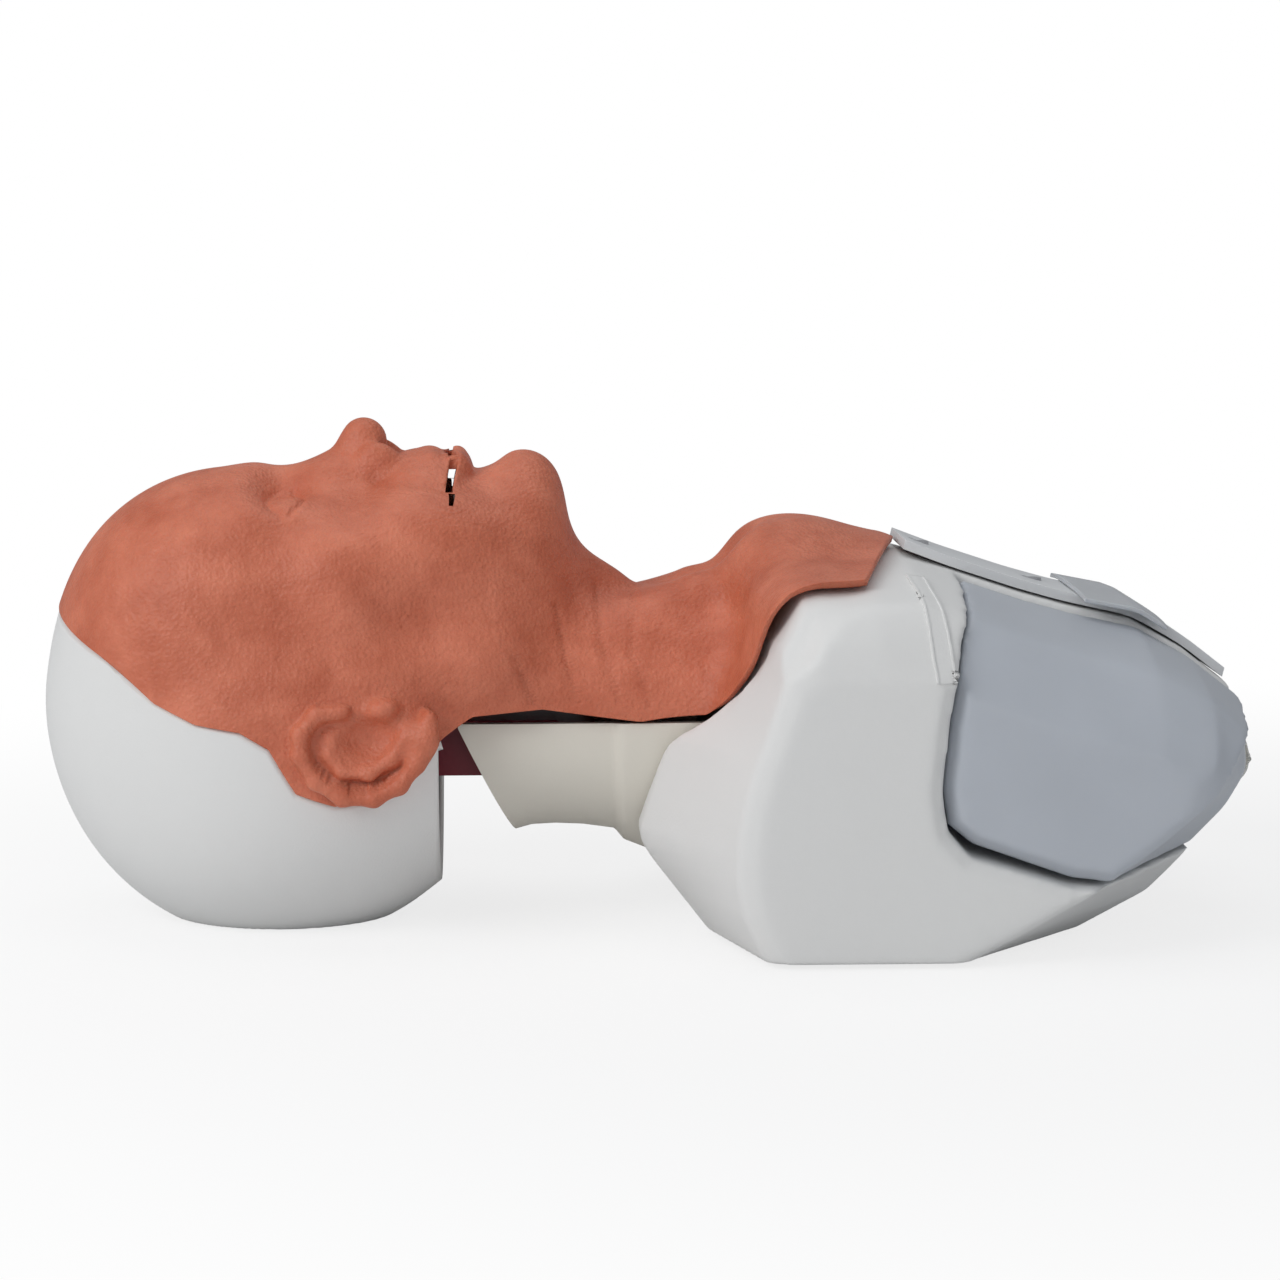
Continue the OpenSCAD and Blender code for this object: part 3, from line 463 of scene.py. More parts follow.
def face_place(rows, across):
    c, side_fold = edge_fold(across)
    fold = np.clip((FACE_HEM - rows)/FACE_HEM, 0, 1)
    inside = HEM_BACK*np.clip((fold - TURNED)/(1 - TURNED), 0, 1)
    s = np.where(fold > 0, inside, (rows - FACE_HEM)/(1 - FACE_HEM)*seam_at(c))
    return skin_point(s, c, np.maximum(fold, side_fold))


def in_mouth(middle):
    c = abs(edge_fold(np.array([middle.x]))[0][0])
    rows, end = (middle.y + 1)/2, seam_at(np.array([c]))[0]
    s = (rows - FACE_HEM)/(1 - FACE_HEM)*end
    half_row = 0.5/FACE_ROWS*(1 - FACE_HEM)*end
    return c < MOUTH_C*0.97 and abs(s - MOUTH_S) < half_row and rows*FACE_ROWS > 5


face = laid_grid(FACE_ROWS, COLUMNS, face_place, in_mouth)
# the lips turn in towards the teeth
rim = [e for e in face.edges if e.is_boundary and abs(e.verts[0].co.y) < 0.03 and e.verts[0].co.z > 0.17
       and -0.215 < e.verts[0].co.x < -0.185]
for inward in (0.0015, 0.0035):
    rolled = bmesh.ops.extrude_edge_only(face, edges=rim)["geom"]
    fresh = [g for g in rolled if isinstance(g, bmesh.types.BMVert)]
    for v in fresh:
        v.co -= Vector((0.25, 0, 0.97))*inward
    rim = [g for g in rolled if isinstance(g, bmesh.types.BMEdge) and g.is_boundary]
face_skin = to_piece(face, "face_skin_sheet", flesh_silicone)


def neck_place(rows, across):
    c, side_fold = edge_fold(across)
    fold = np.clip((rows - (1 - NECK_HEM))/NECK_HEM, 0, 1)
    start = seam_at(c)
    inside = 1 - HEM_BACK*np.clip((fold - TURNED)/(1 - TURNED), 0, 1)
    s = np.where(fold > 0, inside, start + rows/(1 - NECK_HEM)*(1 - start))
    return skin_point(s, c, np.maximum(fold, side_fold))


neck_skin = to_piece(laid_grid(NECK_ROWS, COLUMNS, neck_place), "neck_skin_sheet", flesh_silicone)
for piece, bodies, start, end in (
        (face_skin, ("head", "jaw"), (-0.2028, 0, 0.1982), (-0.1995, 0, 0.2033)),
        (neck_skin, ("chest", "head"), (-0.0800, 0, 0.1150), (-0.1190, 0, 0.1500))):
    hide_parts("face_skin")
    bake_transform(piece)


# The back of the head: a shell moulded in matt white plastic, 4 mm thick, open at the
# nape. A ledge round its rim lies under the edge of the skin and carries it.
SHELL_BACK = np.array([
    # share of the way along the skin's edge, and the point the shell's middle lies towards
    (0.00, -362, 0, 137), (0.08, -374, 0, 105), (0.16, -374, 0, 70), (0.25, -362, 0, 36),
    (0.34, -345, 0, 17), (0.43, -318, 0, 2), (0.52, -285, 0, -3), (0.60, -250, 0, 3),
    (0.68, -222, 0, 14), (0.715, -200, 0, 30),
], float)
LEDGE = math.tan(math.radians(7))
SHELL_WALL = 4.0
UNDER_SKIN = -SKIN_T - SKIN_GAP
# place on the rim's cross-section, and lift of the ray past the skin's edge
RIM_STEPS = [(0.0, LEDGE), (0.02, 0.55*LEDGE), (0.035, -0.010), (0.04, -0.016), (0.055, -0.022)]


def moulded_plastic(name, colour, rough, grain=0.25, scale=900, milky=0.0):
    """Moulded plastic with a fine satin grain, a little cloudier and rougher in places."""
    material, nodes, links = shader(name)
    output = nodes.new("ShaderNodeOutputMaterial")
    body = nodes.new("ShaderNodeBsdfPrincipled")
    body.inputs["Subsurface Weight"].default_value = milky
    body.inputs["Subsurface Radius"].default_value = (0.004, 0.004, 0.004)
    body.inputs["Specular IOR Level"].default_value = 0.4
    at = nodes.new("ShaderNodeTexCoord")
    cloud = nodes.new("ShaderNodeTexNoise")
    cloud.inputs["Scale"].default_value = 14
    cloud.inputs["Detail"].default_value = 5
    tint = nodes.new("ShaderNodeValToRGB")
    tint.color_ramp.elements[0].color = (*[0.955*c for c in colour], 1)
    tint.color_ramp.elements[1].color = (*colour, 1)
    worn = nodes.new("ShaderNodeMapRange")
    worn.inputs["To Min"].default_value = rough - 0.05
    worn.inputs["To Max"].default_value = rough + 0.07
    fine = nodes.new("ShaderNodeTexNoise")
    fine.inputs["Scale"].default_value = scale
    fine.inputs["Detail"].default_value = 3
    bump = nodes.new("ShaderNodeBump")
    bump.inputs["Strength"].default_value = grain
    bump.inputs["Distance"].default_value = 0.0003
    links.new(at.outputs["Object"], cloud.inputs["Vector"])
    links.new(at.outputs["Object"], fine.inputs["Vector"])
    links.new(cloud.outputs["Fac"], tint.inputs["Fac"])
    links.new(tint.outputs["Color"], body.inputs["Base Color"])
    links.new(cloud.outputs["Fac"], worn.inputs["Value"])
    links.new(worn.outputs["Result"], body.inputs["Roughness"])
    links.new(fine.outputs["Fac"], bump.inputs["Height"])
    links.new(bump.outputs["Normal"], body.inputs["Normal"])
    links.new(body.outputs[0], output.inputs["Surface"])
    return material


shell_white = moulded_plastic("matt white shell", (0.80, 0.80, 0.79), 0.55)


def rim_share(f):
    """Position across the shell from one rim to the other, with the steps of the ledge."""
    marks = [r[0] for r in RIM_STEPS]
    lift = np.interp(f, marks, [r[1] for r in RIM_STEPS])
    lift = np.where(f < marks[-1], lift, RIM_STEPS[-1][1]*np.clip(1 - (f - marks[-1])/0.08, 0, 1))
    return np.clip((f - marks[2])/(1 - marks[2]), 0, 1), lift, f < (marks[2] + marks[3])/2


def shell_place(rows, across):
    share, row_lift, low_row = rim_share(rows)
    s = SHELL_BACK[-1, 0]*share
    side, col_lift, low_col = rim_share(1 - np.abs(across))
    c = 1 - side
    q = [np.interp(s, SKIN_ROWS[:, 0], SKIN_ROWS[:, k]) for k in (1, 2, 6, 7, 8)]
    start = np.stack([q[0], q[0]*0, q[1]], axis=1)
    back = np.stack([np.interp(s, SHELL_BACK[:, 0], SHELL_BACK[:, k]) for k in (1, 2, 3)], axis=1)
    way = arc(unit(back - start), unit(np.stack(q[2:5], axis=1) - start), c)
    slide = col_lift*np.clip(1 - s/0.3, 0, 1) - row_lift*c
    way = unit(way + np.stack([0.35*slide, 0.2*slide, -0.3*slide + row_lift + col_lift], axis=1))
    way[:, 1] *= np.where(across < 0, -1, 1)
    level = np.where(low_row | low_col, UNDER_SKIN - 0.9, -0.8)
    p = start + way*walk(start, way, 150, level)[:, None]
    p[:, 2] = np.maximum(p[:, 2], 0.0)
    return p


def thicken(piece, wall):
    """Give a sheet its thickness, inwards."""
    made = piece.modifiers.new("wall", "SOLIDIFY")
    made.thickness = wall*0.001
    made.offset = -1
    return keep_modifiers(piece)


def keep_modifiers(piece):
    solid = bpy.data.meshes.new_from_object(piece.evaluated_get(bpy.context.evaluated_depsgraph_get()))
    solid.name = piece.name
    piece.modifiers.clear()
    piece.data = solid
    return piece


SHELL_ROWS, SHELL_COLUMNS = ((180, 200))
back_shell = to_piece(laid_grid(SHELL_ROWS, SHELL_COLUMNS, shell_place),
                      "back_of_head_shell", shell_white)
thicken(back_shell, SHELL_WALL - 0.6)
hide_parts("head_shell")
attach(back_shell, "head")

# The frame inside the head: the cap under the face, the hinge bracket screwed to the
# shell, the pins, the jaw and both rows of teeth. Hard plastic, enamel and steel.
def brushed_steel(name, colour, rough):
    """Turned or pressed steel, drawn along its length."""
    material, nodes, links = shader(name)
    output = nodes.new("ShaderNodeOutputMaterial")
    body = nodes.new("ShaderNodeBsdfPrincipled")
    body.inputs["Metallic"].default_value = 1.0
    at = nodes.new("ShaderNodeTexCoord")
    stretch = nodes.new("ShaderNodeMapping")
    stretch.inputs["Scale"].default_value = (1, 14, 1)
    lines = nodes.new("ShaderNodeTexNoise")
    lines.inputs["Scale"].default_value = 160
    tint = nodes.new("ShaderNodeValToRGB")
    tint.color_ramp.elements[0].color = (*[0.8*c for c in colour], 1)
    tint.color_ramp.elements[1].color = (*colour, 1)
    gloss = nodes.new("ShaderNodeMapRange")
    gloss.inputs["To Min"].default_value = rough - 0.06
    gloss.inputs["To Max"].default_value = rough + 0.1
    links.new(at.outputs["Object"], stretch.inputs["Vector"])
    links.new(stretch.outputs["Vector"], lines.inputs["Vector"])
    links.new(lines.outputs["Fac"], tint.inputs["Fac"])
    links.new(tint.outputs["Color"], body.inputs["Base Color"])
    links.new(lines.outputs["Fac"], gloss.inputs["Value"])
    links.new(gloss.outputs["Result"], body.inputs["Roughness"])
    links.new(body.outputs[0], output.inputs["Surface"])
    return material


def dress(node, material):
    """Give a solid of the frame its material."""
    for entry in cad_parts[node].material_slots:
        entry.material = material
    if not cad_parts[node].material_slots:
        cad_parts[node].data.materials.append(material)


bone_plastic = moulded_plastic("bone coloured plastic", (0.66, 0.62, 0.54), 0.5)
steel = brushed_steel("drawn steel", (0.62, 0.62, 0.64), 0.28)
bracket_plate = brushed_steel("bracket plate", (0.42, 0.43, 0.46), 0.36)
enamel = moulded_plastic("tooth enamel", (0.82, 0.77, 0.66), 0.22, grain=0.1, scale=300, milky=0.1)
tongue_rubber = silicone("tongue rubber", [(0.38, 0.075, 0.07), (0.52, 0.13, 0.12)], 0.42, 0.5)
for node, material in (
        ("skull_frame", bone_plastic), ("head_bracket", bracket_plate), ("bracket_screws", steel),
        ("jaw_pins", steel), ("mandible", bone_plastic), ("upper_teeth", enamel),
        ("lower_teeth", enamel), ("tilt_pin", steel)):
    dress(node, material)

# The airway and the gullet: tubes of red rubber. The trachea, with its branch to the lungs, is
# pushed on to the airway in the neck and stays with the chest.
TUBE_WALL = 2.5
NECK_BEND = ((-0.0800, 0, 0.1150), (-0.1190, 0, 0.1500))
LARYNX = [(-206, 110), (-192, 113), (-178, 117.5), (-165, 120.5), (-148, 123.2), (-134, 123.8),
          (-118, 122.2), (-112, 121.6)]
TRACHEA = [(-112, 121.6), (-106, 121), (-80, 121), (-50, 120), (-20, 111), (8, 99)]
LARYNX_BEND = ((-0.1120, 0, 0.1200), (-0.1900, 0, 0.1150))
GULLET = [(-176, 97.5), (-165, 99.5), (-134, 102), (-108, 100), (-80, 100), (-50, 98),
          (-20, 88), (6, 76), (40, 70), (70, 67), (102, 66)]
BRANCH_AT = (18, 97)
BRANCH_R = 10.5
BRANCH_LENGTH = 0.066
AIRWAY_R, GULLET_R = 9, 5.5


def smooth_path(points, count):
    """Points along an even curve through the given ones, in X and Z."""
    q = np.array(points, float)
    along = np.concatenate([[0], np.cumsum(np.linalg.norm(np.diff(q, axis=0), axis=1))])
    even = np.linspace(0, along[-1], count)
    curve = np.stack([np.interp(even, along, q[:, 0]), np.interp(even, along, q[:, 1])], axis=1)
    for _ in range(6):
        curve[1:-1] = 0.25*curve[:-2] + 0.5*curve[1:-1] + 0.25*curve[2:]
    return curve


def tube(name, points, outer, inner, material, across_rows=150, sides=36):
    """A round tube swept along a path, out along its outside and back along its inside."""
    curve = smooth_path(points, 120)
    slope = unit(np.gradient(curve, axis=0))
    edge = 0.012
    marks = [0, edge, 0.5 - edge/2, 0.5 + edge/2, 1]
    trips = [0, 0, 1, 1, 0]
    radii = [inner, outer, outer, inner, inner]

    def place(rows, around):
        k = np.interp(rows, marks, trips)*(len(curve) - 1)
        r = np.interp(rows, marks, radii)
        index = np.arange(len(curve))
        x, z = (np.interp(k, index, curve[:, i]) for i in (0, 1))
        up_x, up_z = -np.interp(k, index, slope[:, 1]), np.interp(k, index, slope[:, 0])
        turn = around*np.pi
        return np.stack([x + up_x*r*np.cos(turn), r*np.sin(turn), z + up_z*r*np.cos(turn)], axis=1)

    bm = laid_grid(across_rows, sides, place)
    bmesh.ops.remove_doubles(bm, verts=bm.verts, dist=0.00002)
    bmesh.ops.recalc_face_normals(bm, faces=bm.faces)
    return to_piece(bm, name, material)


airway_rubber = silicone("airway rubber", [(0.36, 0.04, 0.045), (0.45, 0.07, 0.07)], 0.4, 0.2)
larynx = tube("larynx_tube", LARYNX, AIRWAY_R + TUBE_WALL, AIRWAY_R, airway_rubber)
trachea = tube("trachea_tube", TRACHEA, AIRWAY_R + TUBE_WALL, AIRWAY_R, airway_rubber)
gullet = tube("gullet_tube", GULLET, GULLET_R + TUBE_WALL, GULLET_R, airway_rubber)
for piece, node, slot, bend in ((larynx, "airway", "airway_rubber", LARYNX_BEND),
                                (gullet, "gullet", "gullet_rubber", NECK_BEND)):
    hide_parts(node)
    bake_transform(piece)
branch = bmesh.new()
for radius in (BRANCH_R, BRANCH_R - TUBE_WALL):
    bmesh.ops.create_cone(branch, cap_ends=False, segments=40, radius1=radius*0.001,
                          radius2=radius*0.001, depth=BRANCH_LENGTH)
ends = [e for e in branch.edges if e.is_boundary]
bmesh.ops.bridge_loops(branch, edges=[e for e in ends if e.verts[0].co.z > 0])
bmesh.ops.bridge_loops(branch, edges=[e for e in ends if e.verts[0].co.z < 0])
bmesh.ops.rotate(branch, verts=branch.verts, cent=(0, 0, 0), matrix=Matrix.Rotation(math.pi/2, 3, "X"))
bmesh.ops.translate(branch, verts=branch.verts, vec=(BRANCH_AT[0]*0.001, 0, BRANCH_AT[1]*0.001))
bmesh.ops.recalc_face_normals(branch, faces=branch.faces)
branch = to_piece(branch, "windpipe_branch", airway_rubber)
for piece in (trachea, branch):
    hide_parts("trachea")
    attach(piece, "chest")

# The neck: a cream rubber cradle, open towards the face, that widens in a step where it
# plugs into the chest, and the dark red spigot that the head turns on.
CRADLE = np.array([
    # x at the top, x underneath, half width, lowest z
    (-192, -167, 47.5, 36), (-180, -160, 47.5, 38), (-165, -150, 47.5, 38.5), (-145, -138, 47.5, 38),
    (-126, -124, 47.5, 36), (-122, -120, 50, 31), (-108, -110, 50.3, 27), (-84, -88, 50.3, 23),
], float)
CRADLE_MARKS = [0, 0.11, 0.25, 0.44, 0.62, 0.66, 0.79, 1]
CRADLE_MID_Z = 88
CRADLE_WALL = 5


def cradle_place(rows, around):
    x_top, x_low, half, low = (np.interp(rows, CRADLE_MARKS, CRADLE[:, k]) for k in range(4))
    turn = np.radians(92*around)
    dip = np.maximum(0, np.cos(turn))
    return np.stack([x_top + (x_low - x_top)*dip, half*np.sin(turn),
                     CRADLE_MID_Z - (CRADLE_MID_Z - low)*np.cos(turn)], axis=1)


def soften(piece, width, segments=3, angle=35):
    """Round the sharp edges of a piece."""
    made = piece.modifiers.new("soft edges", "BEVEL")
    made.width = width*0.001
    made.segments = segments
    made.limit_method = "ANGLE"
    made.angle_limit = math.radians(angle)
    made.harden_normals = False
    return keep_modifiers(piece)


cream_rubber = moulded_plastic("cream rubber", (0.77, 0.735, 0.655), 0.6, milky=0.06)
cradle = to_piece(laid_grid(70, 90, cradle_place), "neck_cradle_sleeve", cream_rubber)
thicken(cradle, CRADLE_WALL)
soften(cradle, 0.9)
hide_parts("neck_cradle")
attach(cradle, "chest")
red_plastic = moulded_plastic("dark red plastic", (0.20, 0.008, 0.022), 0.38)
dress("neck_spigot", red_plastic)
dress("lung_collars", red_plastic)
dress("gullet_collar", red_plastic)

# The chest: one hollow moulding in white plastic, open underneath and at the neck, with
# a pocket on each side for a lung and a ridge between them.
CHEST_HALF_W = 124.0
CORE_HALF_W = 58.0
MAT_T = 1.5
# outlines seen from the side, near the middle and at the flank: the front as (Z, X),
# the tail and the top as (X, Z)
FRONT_CORE = np.array([
    (0, -84), (33, -109.6), (40, -114), (46, -115.2), (60, -111), (86, -101.9), (95, -92),
    (115, -76), (140, -62.6), (160, -50)], float)
FRONT_SIDE = np.array([
    (0, -65), (10, -70.5), (20.6, -75.3), (33, -78), (45, -78.6), (57, -77.8), (69.6, -75.3),
    (82, -71.5), (94, -67), (106, -63), (118.6, -59), (131, -57), (143, -55), (160, -50)], float)
TAIL_CORE = np.array([(70, 0), (104, 18.3), (139, 55), (147, 70), (145, 86), (142.7, 102.7)], float)
TAIL_SIDE = np.array([(16, 0), (43, 14), (73, 31), (97, 48), (118, 66), (135, 92)], float)
TOP_CORE = np.array([
    (142, 103), (121.5, 119), (99, 131.6), (70, 138), (50, 143.6), (19, 153.8), (0, 161)], float)
TOP_SIDE = np.array([
    (136, 104), (121, 117), (98, 128), (75, 135), (50, 142.5), (19, 152.5), (0, 160)], float)
FRONT_Z = np.array([MAT_T, 12, 24, 34, 42, 50, 62, 76, 86, 95, 104, 114, 122, 130])
FLAP_EDGE = np.array([(50, 90), (56, 94), (64, 102), (77, 116), (99, 144), (104, 152)], float)


def even_steps(values, between):
    """The same list with extra steps between its values."""
    marks = np.arange(len(values))
    return np.interp(np.linspace(0, len(values) - 1, (len(values) - 1)*between + 1), marks, values)


def side_share(w):
    """Share of the way from the middle's outline to the flank's."""
    return np.clip((w - CORE_HALF_W)/(CHEST_HALF_W - 6 - CORE_HALF_W), 0, 1)


def top_drop(w):
    """How far the top drops towards the sides."""
    return 105*(1 - math.sqrt(1 - (w/230)**2)) + 26*(max(0.0, w - 96)/28)**2


def cover_under_skin(x, w):
    rays = np.stack([x, w, np.full_like(x, 60.0)], axis=1)
    return 60 + walk(rays, np.tile((0.0, 0.0, 1.0), (len(x), 1)), 130, UNDER_SKIN - 1)


def back_under_skin(z, w):
    rays = np.stack([np.full_like(z, -20.0), w, z], axis=1)
    return -20 - walk(rays, np.tile((-1.0, 0.0, 0.0), (len(z), 1)), 110, UNDER_SKIN - 1)


def front_x(z, w):
    """The front face at heights z; it draws back where the skin's flap lies over it."""
    f = side_share(w)
    core, side = (np.interp(z, table[:, 0], table[:, 1]) for table in (FRONT_CORE, FRONT_SIDE))
    x = (1 - f)*core + f*side
    drawn = np.clip(1 + (z - np.interp(w, FLAP_EDGE[:, 0], FLAP_EDGE[:, 1]))/12, 0, 1)
    back = np.maximum(x, back_under_skin(z, np.full(len(z), float(w))))
    return x + (back - x)*drawn


def chest_outline(w, between=4):
    """The chest's outline in X and Z at a distance w from its middle."""
    f = side_share(w)
    edge = 10*(max(0.0, w - (CHEST_HALF_W - 6))/6)**2
    low = top_drop(w)
    over_x = np.array([-50.0, -43, -36, -28, -20]) + edge*0.8
    over_z = np.minimum(160 - 0.85*low, cover_under_skin(over_x, np.full(5, w))) - edge*0.6
    rise = min(130.0, over_z[0] - 6)
    z = even_steps(FRONT_Z, between)
    z = np.where(z > 76, 76 + (z - 76)*(rise - 76)/54, z)
    front = np.stack([front_x(z, w) + edge, z], axis=1)
    slope = (1 - f)*TAIL_CORE + f*TAIL_SIDE
    ridge = (1 - f)*TOP_CORE + f*TOP_SIDE
    ridge[:, 1] -= low
    ridge[0, 0] = min(ridge[0, 0], np.interp(ridge[0, 1], slope[:, 1], slope[:, 0]) + 1) - edge*0.7
    ridge[1, 0] -= edge
    ridge[-1, 1] = min(ridge[-1, 1], cover_under_skin(np.array([0.0]), np.array([w]))[0])
    ridge = np.stack([even_steps(ridge[::-1, k], between) for k in (0, 1)], axis=1)
    tail_z = slope[:, 1]*(1 - 0.95*low/104)
    tail_z[0] = MAT_T
    tail_z = even_steps(tail_z[::-1], between)
    tail_x = np.interp(tail_z, slope[:, 1], slope[:, 0]) - edge*0.7
    over, tail = np.stack([over_x, over_z], axis=1), np.stack([tail_x, tail_z], axis=1)
    return np.concatenate([front, over, ridge, tail])


def body_between(stations, outlines):
    """A closed solid through outlines that stand at the given Y."""
    outlines = np.array(outlines)
    count = outlines.shape[1]

    def place(rows, around):
        j = np.rint(rows*(len(stations) - 1)).astype(int)
        k = np.rint((around + 1)/2*count).astype(int) % count
        q = outlines[j, k]
        return np.stack([q[:, 0], np.array(stations)[j], q[:, 1]], axis=1)

    bm = laid_grid(len(stations) - 1, count, place)
    bmesh.ops.remove_doubles(bm, verts=bm.verts, dist=0.00001)
    bmesh.ops.holes_fill(bm, edges=[e for e in bm.edges if e.is_boundary], sides=0)
    bmesh.ops.recalc_face_normals(bm, faces=bm.faces)
    return bm


def prism(outline, y0, y1, axis="Y"):
    """A straight block with the given outline, to cut with."""
    bm = bmesh.new()
    if axis == "Y":
        ring = [bm.verts.new((p[0]*0.001, y0*0.001, p[1]*0.001)) for p in outline]
        push = Vector((0, (y1 - y0)*0.001, 0))
    else:
        ring = [bm.verts.new((y0*0.001, p[0]*0.001, p[1]*0.001)) for p in outline]
        push = Vector(((y1 - y0)*0.001, 0, 0))
    base = bm.faces.new(ring)
    grown = bmesh.ops.extrude_face_region(bm, geom=[base])["geom"]
    bmesh.ops.translate(bm, verts=[g for g in grown if isinstance(g, bmesh.types.BMVert)], vec=push)
    bmesh.ops.recalc_face_normals(bm, faces=bm.faces)
    return bm


def cut(piece, blocks, how="DIFFERENCE"):
    """Take blocks away from a piece, or keep only what lies in them."""
    for k, block in enumerate(blocks):
        mesh = bpy.data.meshes.new("cutting block")
        block.to_mesh(mesh)
        block.free()
        tool = bpy.data.objects.new("cutting block", mesh)
        bpy.context.scene.collection.objects.link(tool)
        made = piece.modifiers.new("cut", "BOOLEAN")
        made.operation = how
        made.solver = "MANIFOLD"
        made.object = tool
        keep_modifiers(piece)
        bpy.data.objects.remove(tool)
    return piece


def mould(piece, voxel, rounds, factor=0.5):
    """Draw an even skin over a cut block and let its edges run soft, as in moulding."""
    made = piece.modifiers.new("even", "REMESH")
    made.mode = "VOXEL"
    made.voxel_size = voxel*0.001
    made.use_smooth_shade = True
    ease = piece.modifiers.new("ease", "SMOOTH")
    ease.factor = factor
    ease.iterations = rounds
    keep_modifiers(piece)
    piece.data.shade_smooth()
    return piece


# the pocket's rim seen from the side, the ridge left between the pockets and the round
# opening for the neck
POCKET = [(24, 190), (22, 149), (14.5, 133), (9, 102), (6, 73), (8.5, 56), (18, 45), (60, 32),
          (84, 30.5), (170, 44), (170, 190)]
RIDGE_HALF_W = 28.0
NECK_HALF_W, NECK_LOW = 50.6, 22.7
neck_hole = [(-NECK_HALF_W, 190)] + [
    (NECK_HALF_W*math.sin(t), CRADLE_MID_Z - (CRADLE_MID_Z - NECK_LOW)*math.cos(t))
    for t in np.radians(np.arange(-90, 91, 6))] + [(NECK_HALF_W, 190)]


def drawn_in(outline, gap):
    """The same outline, moved in by a gap all round."""
    q = np.array(outline, float)
    before, after = q - np.roll(q, 1, axis=0), np.roll(q, -1, axis=0) - q
    before, after = unit(before), unit(after)
    out = unit(np.stack([-before[:, 1] - after[:, 1], before[:, 0] + after[:, 0]], axis=1))
    size = gap/np.maximum(0.5, -out[:, 0]*before[:, 1] + out[:, 1]*before[:, 0])
    return q + out*size[:, None]


def hollow_outline(w):
    """Outline of the hollow behind the shoulders, at a distance w from the middle."""
    low = top_drop(w)
    z = np.array([0, 20, 40, 60, 76, 86, 95, 104, 115, 135], float)
    z = np.where(z > 90, 90 + (z - 90)*(1 - low/45), z)
    x = np.minimum(-50.0, front_x(z, w) + 8 + (4 if w >= 112 else 0))
    z[0] = -5
    return np.concatenate([np.stack([x, z], axis=1), [(-46, 141 - low), (-8, 143 - low), (-8, -5)]])


half = [0, 10, 20, 30, 40, 50, 54, 58, 62, 66, 70, 74, 82, 90, 98, 104, 110, 114, 117, 119, 120.5,
        122, 123, 124]
stations = [-w for w in half[:0:-1]] + half
outlines = {w: chest_outline(w) for w in half}
chest = to_piece(body_between(stations, [outlines[abs(y)] for y in stations]),
                 "chest_moulding", shell_white)
hollow_at = [-112, -98, -80, -70, -58, 0, 58, 70, 80, 98, 112]
PAST_SIDES = 140
LIP_Y = 121.6
well = [(-12, 52), (110, 52), (110, 118), (-12, 118)]
pocket_lip = drawn_in(POCKET, -4.5)
bag_hole = [(29.5*math.sin(t), 66 + 19.5*math.cos(t)) for t in np.radians(np.arange(0, 360, 10))]
cut(chest, [
    body_between(hollow_at, [hollow_outline(abs(y)) for y in hollow_at]),
    prism(neck_hole, -130, -42, "X"),
    prism(POCKET, RIDGE_HALF_W + 2, PAST_SIDES), prism(POCKET, -PAST_SIDES, -RIDGE_HALF_W - 2),
    prism(well, -17, 17),
    prism(bag_hole, 98, 178, "X"),
    prism(pocket_lip, LIP_Y, PAST_SIDES), prism(pocket_lip, -PAST_SIDES, -LIP_Y),
])
mould(chest, 1.9, 6)
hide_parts("chest_shell")
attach(chest, "chest")

# The lungs: thick, milky bags of clear silicone that fill the pockets and stand flush
# with the flanks.
LUNG_Y = (37.0, 119.0)
LUNG_IN = CHEST_HALF_W - LUNG_Y[1]
LUNG_RIM = [(24, 190), (22, 149), (14.5, 133), (9, 102), (6, 73), (8.5, 57), (19, 48.5), (60, 34),
            (84, 31), (170, 44), (170, 190)]


def milky_silicone(name, colour, rough, clear):
    """Clear silicone gone milky: it lets light through and scatters it."""
    material, nodes, links = shader(name)
    output = nodes.new("ShaderNodeOutputMaterial")
    body = nodes.new("ShaderNodeBsdfPrincipled")
    body.inputs["Roughness"].default_value = rough
    body.inputs["IOR"].default_value = 1.41
    body.inputs["Transmission Weight"].default_value = clear
    body.inputs["Subsurface Weight"].default_value = 0.35
    body.inputs["Subsurface Radius"].default_value = (0.010, 0.011, 0.012)
    at = nodes.new("ShaderNodeTexCoord")
    cloud = nodes.new("ShaderNodeTexNoise")
    cloud.inputs["Scale"].default_value = 18
    cloud.inputs["Detail"].default_value = 4
    tint = nodes.new("ShaderNodeValToRGB")
    tint.color_ramp.elements[0].position = 0.3
    tint.color_ramp.elements[1].position = 0.75
    tint.color_ramp.elements[0].color = (*[0.93*c for c in colour], 1)
    tint.color_ramp.elements[1].color = (*colour, 1)
    fine = nodes.new("ShaderNodeTexNoise")
    fine.inputs["Scale"].default_value = 260
    bump = nodes.new("ShaderNodeBump")
    bump.inputs["Strength"].default_value = 0.15
    bump.inputs["Distance"].default_value = 0.0003
    links.new(at.outputs["Object"], cloud.inputs["Vector"])
    links.new(at.outputs["Object"], fine.inputs["Vector"])
    links.new(cloud.outputs["Fac"], tint.inputs["Fac"])
    links.new(tint.outputs["Color"], body.inputs["Base Color"])
    links.new(fine.outputs["Fac"], bump.inputs["Height"])
    links.new(bump.outputs["Normal"], body.inputs["Normal"])
    links.new(body.outputs[0], output.inputs["Surface"])
    return material


